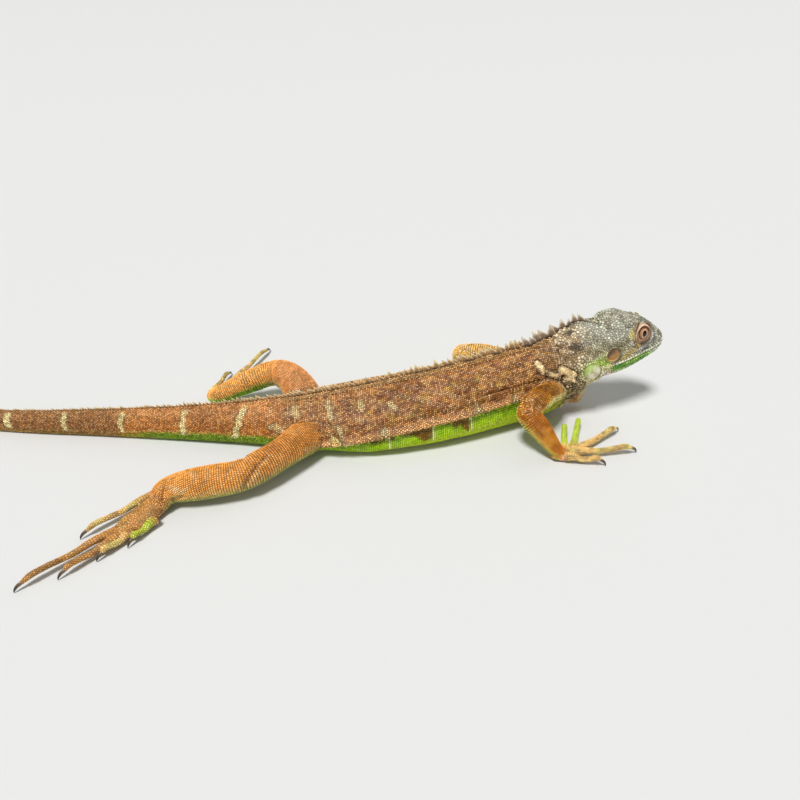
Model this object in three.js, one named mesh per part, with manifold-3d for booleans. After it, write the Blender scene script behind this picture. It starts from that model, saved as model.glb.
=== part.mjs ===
// A life-size young green iguana, lying sprawled on a flat floor with its head raised.
// Millimetres, +Z up, +X towards the head. The floor is Z = 0, and the origin is under the middle of the belly.
// The animal is modelled whole, as skins over rings, and then parted into its named pieces by thin cuts.
import * as THREE from "three";
import { mergeVertices } from "three/addons/utils/BufferGeometryUtils.js";
import Module from "manifold-3d";

const wasm = await Module();
wasm.setup();

// ---------------------------------------------------------------- driving dimensions
const GAP = 0.3; // left between two neighbouring pieces
const SNOUT_TO_NAPE = 43.4; // length of the head
const TAIL_LENGTH = 515; // from the vent to the tip
const BODY_LENGTH = 163; // from the vent to where the neck meets the head
const HEAD_ORIGIN = [99, 19, 30.6]; // middle of the nape, level with the mouth
const HEAD_YAW = 11; // degrees, turned to the animal's left
const HEAD_PITCH = 12; // degrees, nose up
const EYE_RADIUS = 5.3;
const EAR_RADIUS = 4.2;
const CHEEK_SHIELD_RADIUS = 4.8;
const CLAW_LENGTH = 4.4;

// ---------------------------------------------------------------- small helpers
const vec = (x, y, z = 0) => new THREE.Vector3(x, y, z);
const UP = vec(0, 0, 1);
const radians = THREE.MathUtils.degToRad;
const power = (value, exponent) => Math.sign(value) * Math.abs(value) ** exponent;

// A smooth curve through values given at rising places: stations are objects with a place `at` and the named values.
function smoothAt(stations, at, name) {
  const last = stations.length - 1;
  let i = stations.findIndex((s) => s.at > at) - 1;
  if (i === -2) i = last - 1;
  i = Math.max(i, 0);
  const [a, b] = [stations[i], stations[i + 1]];
  const slope = (p, q) => (q[name] - p[name]) / (q.at - p.at);
  const slopeAt = (k) =>
    k === 0
      ? slope(stations[0], stations[1])
      : k === last
        ? slope(stations[last - 1], stations[last])
        : (slope(stations[k - 1], stations[k]) + slope(stations[k], stations[k + 1])) / 2;
  const step = b.at - a.at;
  const t = THREE.MathUtils.clamp((at - a.at) / step, 0, 1);
  const [t2, t3] = [t * t, t * t * t];
  return (
    (2 * t3 - 3 * t2 + 1) * a[name] +
    (t3 - 2 * t2 + t) * step * slopeAt(i) +
    (3 * t2 - 2 * t3) * b[name] +
    (t3 - t2) * step * slopeAt(i + 1)
  );
}

// The skin over a row of rings, each with the same number of points, closed by a fan at both ends: flat, or drawn
// out to a point.
function skinOver(rings, tip) {
  const around = rings[0].length;
  const middle = (ring) => ring.reduce((sum, p) => sum.add(p), vec(0, 0, 0)).divideScalar(ring.length);
  const points = [...rings.flat(), middle(rings[0]), tip ?? middle(rings[rings.length - 1])];
  const tailHub = points.length - 2;
  const headHub = points.length - 1;
  const index = [];
  for (let k = 0; k < around; k++) {
    const next = (k + 1) % around;
    for (let r = 0; r < rings.length - 1; r++) {
      const [a, b] = [r * around + k, r * around + next];
      index.push(a, b, b + around, a, b + around, a + around);
    }
    const lastRow = (rings.length - 1) * around;
    index.push(tailHub, next, k, headHub, lastRow + k, lastRow + next);
  }
  const geometry = new THREE.BufferGeometry().setFromPoints(points);
  geometry.setIndex(index);
  return geometry;
}

// A geometry as a manifold-3d solid with its faces pointing out.
function solid(geometry) {
  const bare = geometry.clone();
  bare.deleteAttribute("normal");
  bare.deleteAttribute("uv");
  const merged = mergeVertices(bare, 1e-4);
  const build = (triVerts) =>
    new wasm.Manifold(
      new wasm.Mesh({ numProp: 3, vertProperties: merged.attributes.position.array, triVerts }),
    );
  const triVerts = new Uint32Array(merged.index.array);
  const made = build(triVerts);
  if (made.volume() > 0) return made;
  for (let i = 0; i < triVerts.length; i += 3)
    [triVerts[i + 1], triVerts[i + 2]] = [triVerts[i + 2], triVerts[i + 1]];
  return build(triVerts);
}

const largestOf = (made) =>
  made.decompose().reduce((best, part) => (part.volume() > best.volume() ? part : best));
const joined = (solids) => solids.reduce((all, one) => all.add(one));

// What is left of a solid on the side of a plane that its normal points to, `clear` away from the plane.
function sideOf(made, point, normal, clear = GAP / 2) {
  const n = normal.clone().normalize();
  return made.trimByPlane(n.toArray(), point.dot(n) + clear);
}
const restOnFloor = (made) => sideOf(made, vec(0, 0, 0), UP, 0);

// A round tube through points with a half-width and a half-height at each, for limbs, digits and claws.
function tube(points, sizes, { steps, sides, extra = 0, level = UP }) {
  const path = new THREE.CatmullRomCurve3(points, false, "centripetal");
  const girth = new THREE.CatmullRomCurve3(sizes.map(([w, h]) => vec(w, h)), false, "centripetal");
  const rings = [];
  for (let i = 0; i <= steps; i++) {
    const t = i / steps;
    const along = path.getTangent(t);
    const side = vec(0, 0, 0).crossVectors(level, along).normalize();
    const above = vec(0, 0, 0).crossVectors(along, side);
    const size = girth.getPoint(t);
    const ring = [];
    for (let k = 0; k < sides; k++) {
      const turn = (2 * Math.PI * (k + 0.5)) / sides;
      ring.push(
        path
          .getPoint(t)
          .addScaledVector(side, (size.x + extra) * Math.cos(turn))
          .addScaledVector(above, (size.y + extra) * Math.sin(turn)),
      );
    }
    rings.push(ring);
  }
  return solid(skinOver(rings));
}

function ellipsoid(centre, radii, frame, detail = [8, 6]) {
  const geometry = new THREE.SphereGeometry(1, ...detail);
  geometry.scale(...radii).translate(...centre);
  return solid(frame ? geometry.applyMatrix4(frame) : geometry);
}

// ---------------------------------------------------------------- body: tail, trunk and neck
// The line of the back seen from above, from the tip of the tail to the nape. The tail swings to the left.
const backLine = new THREE.CatmullRomCurve3(
  [
    [-497, 186], [-446, 106], [-374, 46], [-290, 11], [-210, -2], [-157, -5],
    [-110, -6.5], [-62, -6.5], [-30, -3.5], [0, 0], [30, 5.5], [60, 13], [84, 18.5], [104, 22.5],
  ].map(([x, y]) => vec(x, y)),
  false,
  "centripetal",
);
backLine.arcLengthDivisions = 2000;
const BACK_LENGTH = backLine.getLength();
const VENT_AT = BACK_LENGTH - BODY_LENGTH; // the vent's distance along the line

// Sections by distance from the vent, forward positive: half-width, height of the ridge, of the widest line and of
// the underside, and how the flanks run up to the ridge (1 is an ellipse, more is steeper, like a roof).
const bodySections = [
  { at: -TAIL_LENGTH, half: 0.9, ridge: 1.8, wide: 0.9, under: -0.1, roof: 1 },
  { at: -390, half: 1.6, ridge: 4.2, wide: 1.9, under: -0.2, roof: 1 },
  { at: -240, half: 3.1, ridge: 9.1, wide: 3.7, under: -0.3, roof: 1.05 },
  { at: -100, half: 5, ridge: 15.2, wide: 5.6, under: -0.4, roof: 1.1 },
  { at: -45, half: 8.8, ridge: 19.2, wide: 6.8, under: -0.5, roof: 1.15 },
  { at: -12, half: 13.2, ridge: 22.8, wide: 7.2, under: -0.5, roof: 1.25 },
  { at: 10, half: 20.6, ridge: 25.2, wide: 7.2, under: -0.5, roof: 1.4 },
  { at: 34, half: 25.2, ridge: 28.4, wide: 7.8, under: -0.6, roof: 1.45 },
  { at: 60, half: 24.4, ridge: 32.6, wide: 9.6, under: -0.6, roof: 1.45 },
  { at: 88, half: 22, ridge: 36.8, wide: 12, under: -0.6, roof: 1.35 },
  { at: 112, half: 18.8, ridge: 40, wide: 15.5, under: -0.5, roof: 1.3 },
  { at: 134, half: 15.8, ridge: 44.4, wide: 20, under: 0.4, roof: 1.2 },
  { at: 149, half: 13.4, ridge: 51, wide: 27, under: 6.5, roof: 1.05 },
  { at: 157, half: 12.6, ridge: 53.9, wide: 31.5, under: 12.5, roof: 0.95 },
  { at: BODY_LENGTH, half: 11.8, ridge: 56, wide: 35, under: 22, roof: 0.9 },
];
const BELLY_POWER = 0.62; // under 1, so the belly is flat with round corners

function backFrame(at) {
  const u = THREE.MathUtils.clamp((VENT_AT + at) / BACK_LENGTH, 0, 1);
  const forward = backLine.getTangentAt(u);
  return { origin: backLine.getPointAt(u), forward, left: vec(-forward.y, forward.x) };
}

function bodyRing(at, sides, extra) {
  const { origin, left } = backFrame(at);
  const [half, ridge, wide, under, roof] = ["half", "ridge", "wide", "under", "roof"].map((name) =>
    smoothAt(bodySections, at, name),
  );
  const ring = [];
  for (let k = 0; k < sides; k++) {
    const turn = (2 * Math.PI * k) / sides; // 0 is the ridge
    const upper = Math.cos(turn) >= 0;
    const reach = upper ? ridge + extra - wide : wide - under + extra;
    const out = (half + extra) * power(Math.sin(turn), upper ? roof : BELLY_POWER);
    ring.push(origin.clone().addScaledVector(left, out).addScaledVector(UP, wide + reach * Math.cos(turn)));
  }
  return ring;
}

function bodyBetween(from, to, { rings, sides, extra = 0 }) {
  const places = Array.from({ length: rings + 1 }, (_, i) => from + ((to - from) * i) / rings);
  return solid(skinOver(places.map((at) => bodyRing(at, sides, extra))));
}

const TRUNK_START = -28;
const trunkAndNeck = (extra = 0) =>
  bodyBetween(TRUNK_START - 12, BODY_LENGTH, { rings: 21, sides: 16, extra });

// ---------------------------------------------------------------- crest along the back
// One spine: a thin blade that leans back, its foot sunk in the ridge.
function crestSpine(at, height) {
  const { origin, forward, left } = backFrame(at);
  const foot = smoothAt(bodySections, at, "ridge");
  const [length, thick, sink] = [0.26 * height + 0.85, 0.12 * height + 0.42, 1.2];
  const place = (ahead, aside, above) =>
    origin
      .clone()
      .addScaledVector(forward, ahead)
      .addScaledVector(left, aside)
      .addScaledVector(UP, foot + above);
  const root = [place(length, 0, -sink), place(-length, thick, -sink), place(-length, -thick, -sink)];
  return solid(skinOver([root], place(-0.4 * height, 0, height)));
}

// Spine height by distance from the vent: tall on the nape, low over the hips, a fine saw along the tail.
const crestSections = [
  { at: -190, height: 1.3 },
  { at: -60, height: 2.1 },
  { at: 10, height: 2.4 },
  { at: 60, height: 3 },
  { at: 88, height: 3.8 },
  { at: 120, height: 4.9 },
  { at: 144, height: 6.4 },
  { at: 158, height: 6 },
];
const CREST_SPACING = 4.5;
const CREST_TAIL_END = -115;
const CREST_NAPE_END = 158;

function crestBetween(from, to) {
  const spines = [];
  for (let at = CREST_NAPE_END; at > CREST_TAIL_END; at -= CREST_SPACING)
    if (at >= from && at < to) spines.push(crestSpine(at, smoothAt(crestSections, at, "height")));
  return spines;
}

// ---------------------------------------------------------------- head
const headTurn = new THREE.Euler(0, -radians(HEAD_PITCH), radians(HEAD_YAW), "ZYX");
const headFrame = new THREE.Matrix4().makeRotationFromEuler(headTurn).setPosition(...HEAD_ORIGIN);
const inHead = (x, y, z) => vec(x, y, z).applyMatrix4(headFrame);
const headDirection = (x, y, z) => vec(x, y, z).transformDirection(headFrame);

// The head's own frame: x towards the snout, y to its left, z up from the line of the mouth.
const headSections = [
  { at: -16, half: 10.4, top: 21, wide: 6, bottom: -11, box: 0.95 },
  { at: -6, half: 11.6, top: 22.9, wide: 5, bottom: -10.6, box: 0.9 },
  { at: 4, half: 12.2, top: 22.9, wide: 4, bottom: -9.8, box: 0.8 },
  { at: 12, half: 12.2, top: 24.8, wide: 3.6, bottom: -9.2, box: 0.7 },
  { at: 19, half: 11.2, top: 24.6, wide: 3.6, bottom: -8.6, box: 0.66 },
  { at: 25, half: 9.7, top: 21, wide: 3.8, bottom: -7.9, box: 0.66 },
  { at: 31, half: 8.2, top: 17.8, wide: 3.4, bottom: -7, box: 0.7 },
  { at: 36, half: 6.8, top: 13.4, wide: 3, bottom: -6, box: 0.76 },
  { at: 39.8, half: 5.3, top: 9.2, wide: 2.6, bottom: -4.9, box: 0.84 },
  { at: 42.4, half: 3.5, top: 5.8, wide: 1.8, bottom: -2.8, box: 0.95 },
  { at: SNOUT_TO_NAPE, half: 1.6, top: 3.4, wide: 1.4, bottom: -0.8, box: 1 },
];
const HEAD_SIDES = 16;
const HEAD_RINGS = 12;

function headRing(at, extra) {
  const [half, top, wide, bottom, box] = ["half", "top", "wide", "bottom", "box"].map((name) =>
    smoothAt(headSections, at, name),
  );
  const ring = [];
  for (let k = 0; k < HEAD_SIDES; k++) {
    const turn = (2 * Math.PI * k) / HEAD_SIDES;
    const reach = Math.cos(turn) >= 0 ? top + extra - wide : wide - bottom + extra;
    ring.push(inHead(at, (half + extra) * power(Math.sin(turn), box), wide + reach * power(Math.cos(turn), box)));
  }
  return ring;
}

function headShape(extra = 0) {
  const [first, last] = [headSections[0].at, SNOUT_TO_NAPE + extra];
  const rings = [];
  for (let i = 0; i <= HEAD_RINGS; i++) {
    const t = i / HEAD_RINGS;
    // Rings crowd towards the snout, where the head turns fastest.
    rings.push(headRing(first + (last - first) * Math.sin((t * Math.PI) / 2), extra));
  }
  return solid(skinOver(rings));
}

const bothSides = (make) => [make(-1, "right"), make(1, "left")];
const CHEEK_OUT = 12.2; // the cheek's distance from the head's middle plane
const EAR_THICK = 1.4;
const EAR_DEPTH = 0.6; // how far the eardrum's face lies below the cheek
const SHIELD_THICK = 2.2;
const EYE = { x: 28.4, y: 5.5, z: 11.5 };
const EAR = { x: 10.6, y: CHEEK_OUT - EAR_DEPTH - EAR_THICK / 2, z: 7.4, tilt: -6 };
const SHIELD = { x: -1.4, y: CHEEK_OUT + 0.5, z: 1.4, tilt: 8 };
const NOSTRIL = { x: 40.6, y: 4.6, z: 6.4 };

const browRidge = (side) => ellipsoid([26, side * 5.8, 15.2], [7.8, 2.9, 2.4], headFrame);
const jowl = (side, extra = 0) =>
  ellipsoid([-0.5, side * 8.2, -0.6], [9 + extra, 5.2 + extra, 8 + extra], headFrame);

// The ring of scaly lid round each eye.
function eyelid(side) {
  const ring = new THREE.TorusGeometry(EYE_RADIUS - 0.2, 1.1, 4, 10);
  ring.scale(1.06, 0.94, 1).rotateX(Math.PI / 2).rotateZ(side * radians(-11));
  ring.translate(EYE.x, side * (EYE.y + 2), EYE.z).applyMatrix4(headFrame);
  return solid(ring);
}
const eyeball = (side, radius) =>
  ellipsoid([EYE.x, side * EYE.y, EYE.z], [radius, radius - 0.8, radius], headFrame, [9, 6]);

// A low round disc on the cheek that faces outwards, `tilt` degrees down. Its rim slopes by `taper`.
function cheekDisc({ x, y, z, tilt }, side, radius, thick, taper = 1) {
  const disc = new THREE.CylinderGeometry(radius * taper, radius, thick, 10);
  disc.rotateX(radians(tilt)).translate(x, y, z).scale(1, side, 1).applyMatrix4(headFrame);
  return solid(disc);
}
const earDrum = (side) => cheekDisc(EAR, side, EAR_RADIUS, EAR_THICK);
const earHole = (side) =>
  cheekDisc({ ...EAR, y: EAR.y + 1 }, side, EAR_RADIUS + GAP, EAR_THICK + 2 * (1 + GAP));
const shield = (side) => cheekDisc(SHIELD, side, CHEEK_SHIELD_RADIUS, SHIELD_THICK, 0.8);
const shieldHole = (side) =>
  cheekDisc(SHIELD, side, CHEEK_SHIELD_RADIUS + GAP, SHIELD_THICK + 2 * GAP);
const nostril = (side) => {
  const hole = new THREE.ConeGeometry(0.75, 3.4, 5).rotateX(side * (-Math.PI / 2));
  hole.translate(NOSTRIL.x, side * (NOSTRIL.y + 0.9), NOSTRIL.z).applyMatrix4(headFrame);
  return solid(hole);
};

// The mouth is a thin cut from the snout to a corner below the back of the eye.
const MOUTH_CORNER = 11;
function jawSpace(shrink) {
  const [length, width, height] = [60, 60, 40];
  const box = new THREE.BoxGeometry(length, width, height);
  box.translate(MOUTH_CORNER + length / 2 + shrink, 0, -height / 2 - shrink);
  return solid(box.applyMatrix4(headFrame));
}

// ---------------------------------------------------------------- dewlap
// The loose fold of skin under the throat: a thin plate in the body's middle plane, with a saw of small spines.
const DEWLAP_AT = [91.6, 19, 1];
function dewlap() {
  const outline = new THREE.Shape();
  outline.moveTo(-16, 16);
  outline.lineTo(-8, 27);
  outline.lineTo(11.5, 27);
  outline.quadraticCurveTo(11.5, 8, 9.5, 2.4);
  outline.quadraticCurveTo(7.4, 0.2, 4.6, 1.6);
  outline.lineTo(3.4, 0.7);
  outline.lineTo(2.2, 2.6);
  outline.lineTo(0.6, 1.9);
  outline.lineTo(-0.4, 3.9);
  outline.quadraticCurveTo(-6, 5, -16, 6);
  const thick = 2.2;
  const bevel = { bevelEnabled: true, bevelSize: 0.5, bevelThickness: 0.5, bevelSegments: 1, curveSegments: 3 };
  const plate = new THREE.ExtrudeGeometry(outline, { depth: thick - 1, ...bevel });
  plate.translate(0, 0, -(thick - 1) / 2).rotateX(Math.PI / 2).rotateZ(radians(HEAD_YAW));
  return solid(plate.translate(...DEWLAP_AT));
}

// ---------------------------------------------------------------- limbs
// Joints by name, in the part's frame. Each limb is one tube through its joints, parted at elbow or knee and at
// wrist or ankle.
const limbs = {
  right_fore: {
    path: [[84.5, 11, 17], [78, 0.5, 21.5], [70, -9, 23.5], [64.2, -14.8, 20.5], [71.5, -21.3, 13.3], [79.3, -28, 6.2], [82, -27.8, 4.6]],
    sizes: [[6, 6], [6.8, 7], [6.3, 6.5], [6.1, 6.2], [6, 5.8], [4.2, 3.9], [4, 3]],
    parts: ["upper_arm_right", "forearm_right", "hand_right"],
  },
  left_fore: {
    path: [[80, 26, 18], [65, 31, 20], [49, 35, 24.5], [35.8, 39.8, 22.4], [40.8, 48, 14.4], [53, 55, 6.2], [56, 56.5, 4.6]],
    sizes: [[7, 7], [6.8, 7], [6.1, 6.3], [5.7, 5.8], [6, 5.8], [4.2, 3.9], [4, 3]],
    parts: ["upper_arm_left", "forearm_left", "hand_left"],
  },
  right_hind: {
    path: [[-36, -8, 10], [-46.5, -21.5, 10.8], [-57.4, -37, 12], [-72.6, -50, 10.8], [-90, -54.4, 10], [-105, -57, 7.6], [-109.5, -61.5, 5.2]],
    sizes: [[9.2, 9], [9, 9], [7.4, 7.6], [7.6, 7.6], [7.8, 7.8], [6.6, 6], [6.4, 4.2]],
    parts: ["thigh_right", "shin_right", "foot_right"],
  },
  left_hind: {
    path: [[-47.5, -1, 11], [-53, 10, 15.8], [-60, 19, 19.3], [-69.5, 25.5, 18.6], [-88, 22.6, 12.8], [-101.3, 19.9, 7.7], [-105.8, 24.8, 4.9]],
    sizes: [[9.6, 9.6], [9.6, 9.6], [8.2, 8.4], [7.2, 7.4], [6.4, 6.2], [5.2, 5], [5.2, 4]],
    parts: ["thigh_left", "shin_left", "foot_left"],
  },
};
const BEND_AT = 3; // the point of a path that is the elbow or knee
const END_AT = 5.1; // just past the wrist or ankle

function limbTube({ path, sizes }, extra = 0) {
  const points = path.map((p) => vec(...p));
  return tube(points, sizes, { steps: 14, sides: 9, extra });
}

// Digits by heading in degrees and length. The root is on the palm's edge, the middle is arched, and the tip is down.
const palms = {
  hand_right: {
    from: [79.5, -27.8, 4.2],
    heading: 20,
    length: 10,
    size: [4.8, 2.9],
    thick: [1.7, 1.25],
    tipHeight: 2.7,
    digits: [
      { root: [85, -22], heading: 82, length: 16.5 },
      { root: [89, -21], heading: 70, length: 21 },
      { root: [90.5, -23.5], heading: 35, length: 30 },
      { root: [90.5, -26], heading: 8, length: 27 },
      { root: [86.5, -29], heading: -5, length: 12.5 },
    ],
  },
  hand_left: {
    from: [54, 55.5, 4.2],
    heading: 30,
    length: 10,
    size: [4.8, 2.9],
    thick: [1.7, 1.25],
    tipHeight: 2.2,
    digits: [
      { root: [61, 55], heading: -16, length: 14 },
      { root: [63.5, 58.5], heading: 4, length: 18 },
      { root: [63.5, 61], heading: 16, length: 22 },
      { root: [61.5, 63], heading: 30, length: 20 },
      { root: [57.5, 63], heading: 62, length: 13 },
    ],
  },
  foot_right: {
    from: [-108, -60, 4.8],
    heading: -122,
    length: 16,
    size: [6.4, 3.6],
    thick: [2.1, 1.3],
    tipHeight: 1.9,
    digits: [
      { root: [-107, -69.8], heading: -122, length: 11 },
      { root: [-112.5, -74.5], heading: -129, length: 17 },
      { root: [-116.5, -77], heading: -131, length: 28 },
      { root: [-119.5, -74.8], heading: -135, length: 41 },
      { root: [-115.5, -58], heading: -138, length: 27 },
    ],
  },
  foot_left: {
    from: [-103.8, 23.4, 4.5],
    heading: 72,
    length: 16,
    size: [6, 3.4],
    thick: [2, 1.3],
    tipHeight: 1.7,
    digits: [
      { root: [-94.5, 31], heading: 22, length: 11 },
      { root: [-94, 37], heading: 38, length: 17 },
      { root: [-95.5, 40], heading: 50, length: 26 },
      { root: [-98.5, 41.5], heading: 71.5, length: 39 },
      { root: [-108.4, 30.5], heading: 78, length: 20 },
    ],
  },
};

const DIGIT_STEPS = 4;
const DIGIT_SIDES = 5;

function digitPath({ root, heading, length }, tipHeight) {
  const turn = radians(heading);
  const ahead = vec(Math.cos(turn), Math.sin(turn));
  const at = (share, height) => vec(root[0], root[1], height).addScaledVector(ahead, share * length);
  const arch = 2.6 + 0.055 * length;
  const points = [
    at(-0.12, 3.2), at(0.16, arch + 0.2), at(0.44, arch), at(0.74, (arch + tipHeight) / 2 + 0.2),
    at(0.93, tipHeight + 0.5), at(1, tipHeight),
  ];
  return { ahead, points };
}

function digit(spec, { thick, tipHeight }) {
  const { points } = digitPath(spec, tipHeight);
  const taper = [1.25, 1.05, 0.94, 0.92, 0.95, 0.72];
  const sizes = taper.map((share, i) => {
    const base = THREE.MathUtils.lerp(thick[0], thick[1], i / (taper.length - 1));
    return [share * base * 1.08, share * base];
  });
  return tube(points, sizes, { steps: DIGIT_STEPS, sides: DIGIT_SIDES });
}

// A hooked claw whose root faces the end of its digit and whose point touches the floor.
function claw(spec, { tipHeight }) {
  const { points, ahead } = digitPath(spec, tipHeight);
  const [before, end] = points.slice(-2);
  const way = end.clone().sub(before).normalize();
  const path = [
    end,
    end.clone().addScaledVector(ahead, 0.42 * CLAW_LENGTH).setZ(0.75 * tipHeight),
    end.clone().addScaledVector(ahead, 0.72 * CLAW_LENGTH).setZ(0.1),
  ];
  const hook = tube(path, [[0.85, 0.95], [0.62, 0.75], [0.28, 0.3]], { steps: 2, sides: 4 });
  return sideOf(hook, end, way, GAP);
}

function palm({ from, heading, length, size }) {
  const turn = radians(heading);
  const start = vec(...from);
  const step = (share, height) =>
    start.clone().add(vec(Math.cos(turn) * share * length, Math.sin(turn) * share * length)).setZ(height);
  const [w, h] = size;
  const path = [step(-0.25, from[2]), step(0.35, h * 0.85), step(0.8, h * 0.72), step(1.12, h * 0.52)];
  return tube(path, [[w * 0.66, h], [w, h], [w * 0.92, h * 0.8], [w * 0.55, h * 0.5]], { steps: 3, sides: 8 });
}

// ---------------------------------------------------------------- materials
const finish = (colour, roughness) =>
  new THREE.MeshStandardMaterial({ color: new THREE.Color(colour), roughness, metalness: 0 });
const materials = {
  back: finish("#9a6238", 0.62),
  head: finish("#8d8c74", 0.6),
  limb: finish("#b9692b", 0.55),
  dewlap: finish("#b98552", 0.6),
  shield: finish("#b9cf9a", 0.4),
  ear: finish("#8a5a22", 0.35),
  eye: finish("#6b3a1c", 0.1),
  claw: finish("#4a3a2a", 0.4),
};

// ---------------------------------------------------------------- parting into nodes
const iguana = new THREE.Group();

function addNode(name, made, material) {
  const piece = largestOf(restOnFloor(made));
  const { numProp, vertProperties, numVert, triVerts } = piece.getMesh();
  const positions = new Float32Array(numVert * 3);
  for (let i = 0; i < numVert; i++)
    positions.set(vertProperties.subarray(i * numProp, i * numProp + 3), i * 3);
  const geometry = new THREE.BufferGeometry();
  geometry.setAttribute("position", new THREE.BufferAttribute(positions, 3));
  geometry.setIndex(new THREE.BufferAttribute(triVerts.slice(), 1));
  geometry.computeVertexNormals();
  const mesh = new THREE.Mesh(geometry, material);
  mesh.name = name;
  iguana.add(mesh);
}

function cutPlane(at) {
  const { origin, forward } = backFrame(at);
  return [origin, forward];
}

// Head and neck: cut apart by a plane across the nape, square to the head.
const napePoint = inHead(-8, 0, 0);
const napeWay = headDirection(1, 0, -0.5);
const SHOULDER_AT = 139;
const HIP_AT = TRUNK_START;

const recesses = [
  ...bothSides((side) => eyeball(side, EYE_RADIUS + GAP)),
  ...bothSides(earHole),
  ...bothSides(shieldHole),
  ...bothSides(nostril),
];
const wholeHead = joined([
  headShape(),
  ...bothSides(browRidge),
  ...bothSides((side) => jowl(side)),
  ...bothSides(eyelid),
]);
const carvedHead = recesses.reduce((made, hole) => made.subtract(hole), wholeHead);
const headOnly = sideOf(carvedHead, napePoint, napeWay);

addNode("head", headOnly.subtract(jawSpace(0)), materials.head);
addNode("lower_jaw", headOnly.intersect(jawSpace(GAP)), materials.head);
bothSides((side, name) => {
  addNode(`eye_${name}`, eyeball(side, EYE_RADIUS), materials.eye);
  addNode(`eardrum_${name}`, earDrum(side), materials.ear);
  addNode(`cheek_shield_${name}`, shield(side), materials.shield);
});

// The neck ends at the nape's cut, but for the throat, which runs on under the jaw.
const THROAT_TOP = -7;
const neckSkin = trunkAndNeck();
const throatSkin = sideOf(neckSkin, inHead(0, 0, THROAT_TOP), headDirection(0, 0, -1), 0);
const underHead = joined([headShape(GAP), ...bothSides((side) => jowl(side, GAP))]);
const neckPieces = joined([
  sideOf(neckSkin, napePoint, napeWay.clone().negate()),
  throatSkin.subtract(underHead),
  ...crestBetween(SHOULDER_AT + 2, CREST_NAPE_END + 1),
]);
const neckPiece = neckPieces.subtract(sideOf(underHead, napePoint, napeWay, -GAP / 2));
addNode("neck", sideOf(neckPiece, ...cutPlane(SHOULDER_AT)), materials.head);

const [shoulderPoint, shoulderWay] = cutPlane(SHOULDER_AT);
const [hipPoint, hipWay] = cutPlane(HIP_AT);
const trunk = sideOf(
  sideOf(trunkAndNeck(), shoulderPoint, shoulderWay.clone().negate()),
  hipPoint,
  hipWay,
);
addNode("trunk", joined([trunk, ...crestBetween(HIP_AT + 2, SHOULDER_AT - 2)]), materials.back);

// The tail, in four lengths.
const tailCuts = [HIP_AT, -118, -225, -350, -TAIL_LENGTH];
const tailNames = ["tail_root", "tail_middle", "tail_end", "tail_whip"];
const tailRings = [7, 6, 5, 7];
tailNames.forEach((name, i) => {
  const [front, back] = [tailCuts[i] - GAP / 2, tailCuts[i + 1] + (i < tailNames.length - 1 ? GAP / 2 : 0)];
  const length = bodyBetween(back, front, { rings: tailRings[i], sides: 12 });
  addNode(name, joined([length, ...crestBetween(back + 1.5, front - 1.5)]), materials.back);
});

// Everything that the limbs and the dewlap must stay clear of.
const clearOf = [trunkAndNeck(GAP), bodyBetween(-80, -20, { rings: 10, sides: 12, extra: GAP })];
const awayFromBody = (made) => clearOf.reduce((left, body) => left.subtract(body), made);
addNode("dewlap", awayFromBody(dewlap()).subtract(underHead), materials.dewlap);

for (const limb of Object.values(limbs)) {
  const path = new THREE.CatmullRomCurve3(limb.path.map((p) => vec(...p)), false, "centripetal");
  const [bend, end] = [BEND_AT, END_AT].map((k) => {
    const t = k / (limb.path.length - 1);
    return [path.getPoint(t), path.getTangent(t)];
  });
  const [upperName, lowerName, endName] = limb.parts;
  const whole = awayFromBody(limbTube(limb));
  addNode(upperName, sideOf(whole, bend[0], bend[1].clone().negate()), materials.limb);
  const lower = sideOf(whole, ...bend);
  addNode(lowerName, sideOf(lower, end[0], end[1].clone().negate()), materials.limb);
  const spec = palms[endName];
  const fan = joined([lower, palm(spec), ...spec.digits.map((one) => digit(one, spec))]);
  addNode(endName, sideOf(fan, ...end), materials.limb);
  spec.digits.forEach((one, i) => addNode(`claw_${endName}_${i + 1}`, claw(one, spec), materials.claw));
}

export default iguana;
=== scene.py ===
# %% [markdown]
# # A young green iguana, life size
#
# The animal lies sprawled on a flat floor with its head raised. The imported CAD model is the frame: its
# nodes say where everything is. This lesson grows one seamless skin over the nodes of flesh, sculpts the
# folds into it, and lays more than fifty thousand scales on it, each a small closed solid.

# %% Load the frame
import math

import bpy
import numpy as np
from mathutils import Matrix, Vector
from mathutils.bvhtree import BVHTree
from mathutils.kdtree import KDTree


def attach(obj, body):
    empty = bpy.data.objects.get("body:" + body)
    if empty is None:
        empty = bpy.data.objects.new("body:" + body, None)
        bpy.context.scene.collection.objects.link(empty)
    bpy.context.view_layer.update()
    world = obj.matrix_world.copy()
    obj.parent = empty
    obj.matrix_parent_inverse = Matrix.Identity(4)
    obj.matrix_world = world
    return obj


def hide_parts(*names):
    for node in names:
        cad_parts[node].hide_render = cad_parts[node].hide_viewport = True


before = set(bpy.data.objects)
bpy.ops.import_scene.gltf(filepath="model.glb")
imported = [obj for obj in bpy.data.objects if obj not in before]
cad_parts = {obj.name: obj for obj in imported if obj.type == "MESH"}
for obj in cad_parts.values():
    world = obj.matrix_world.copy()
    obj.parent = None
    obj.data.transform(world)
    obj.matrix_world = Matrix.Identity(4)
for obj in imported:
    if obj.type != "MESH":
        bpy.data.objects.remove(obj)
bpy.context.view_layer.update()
MM = 0.001  # the work is done in millimetres, and meshes are made in metres

# %% [markdown]
# ## Small helpers
#
# The CAD describes the body by stations along a line. The same two tools are needed here, for whole
# arrays: a curve through points, and a smooth value between stations.

# %% Curves and stations
UP = np.array([0.0, 0.0, 1.0])


def power(value, exponent):
    return np.sign(value) * np.abs(value) ** exponent


def unit(v):
    return v / np.maximum(np.linalg.norm(v, axis=-1, keepdims=True), 1e-12)


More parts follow.
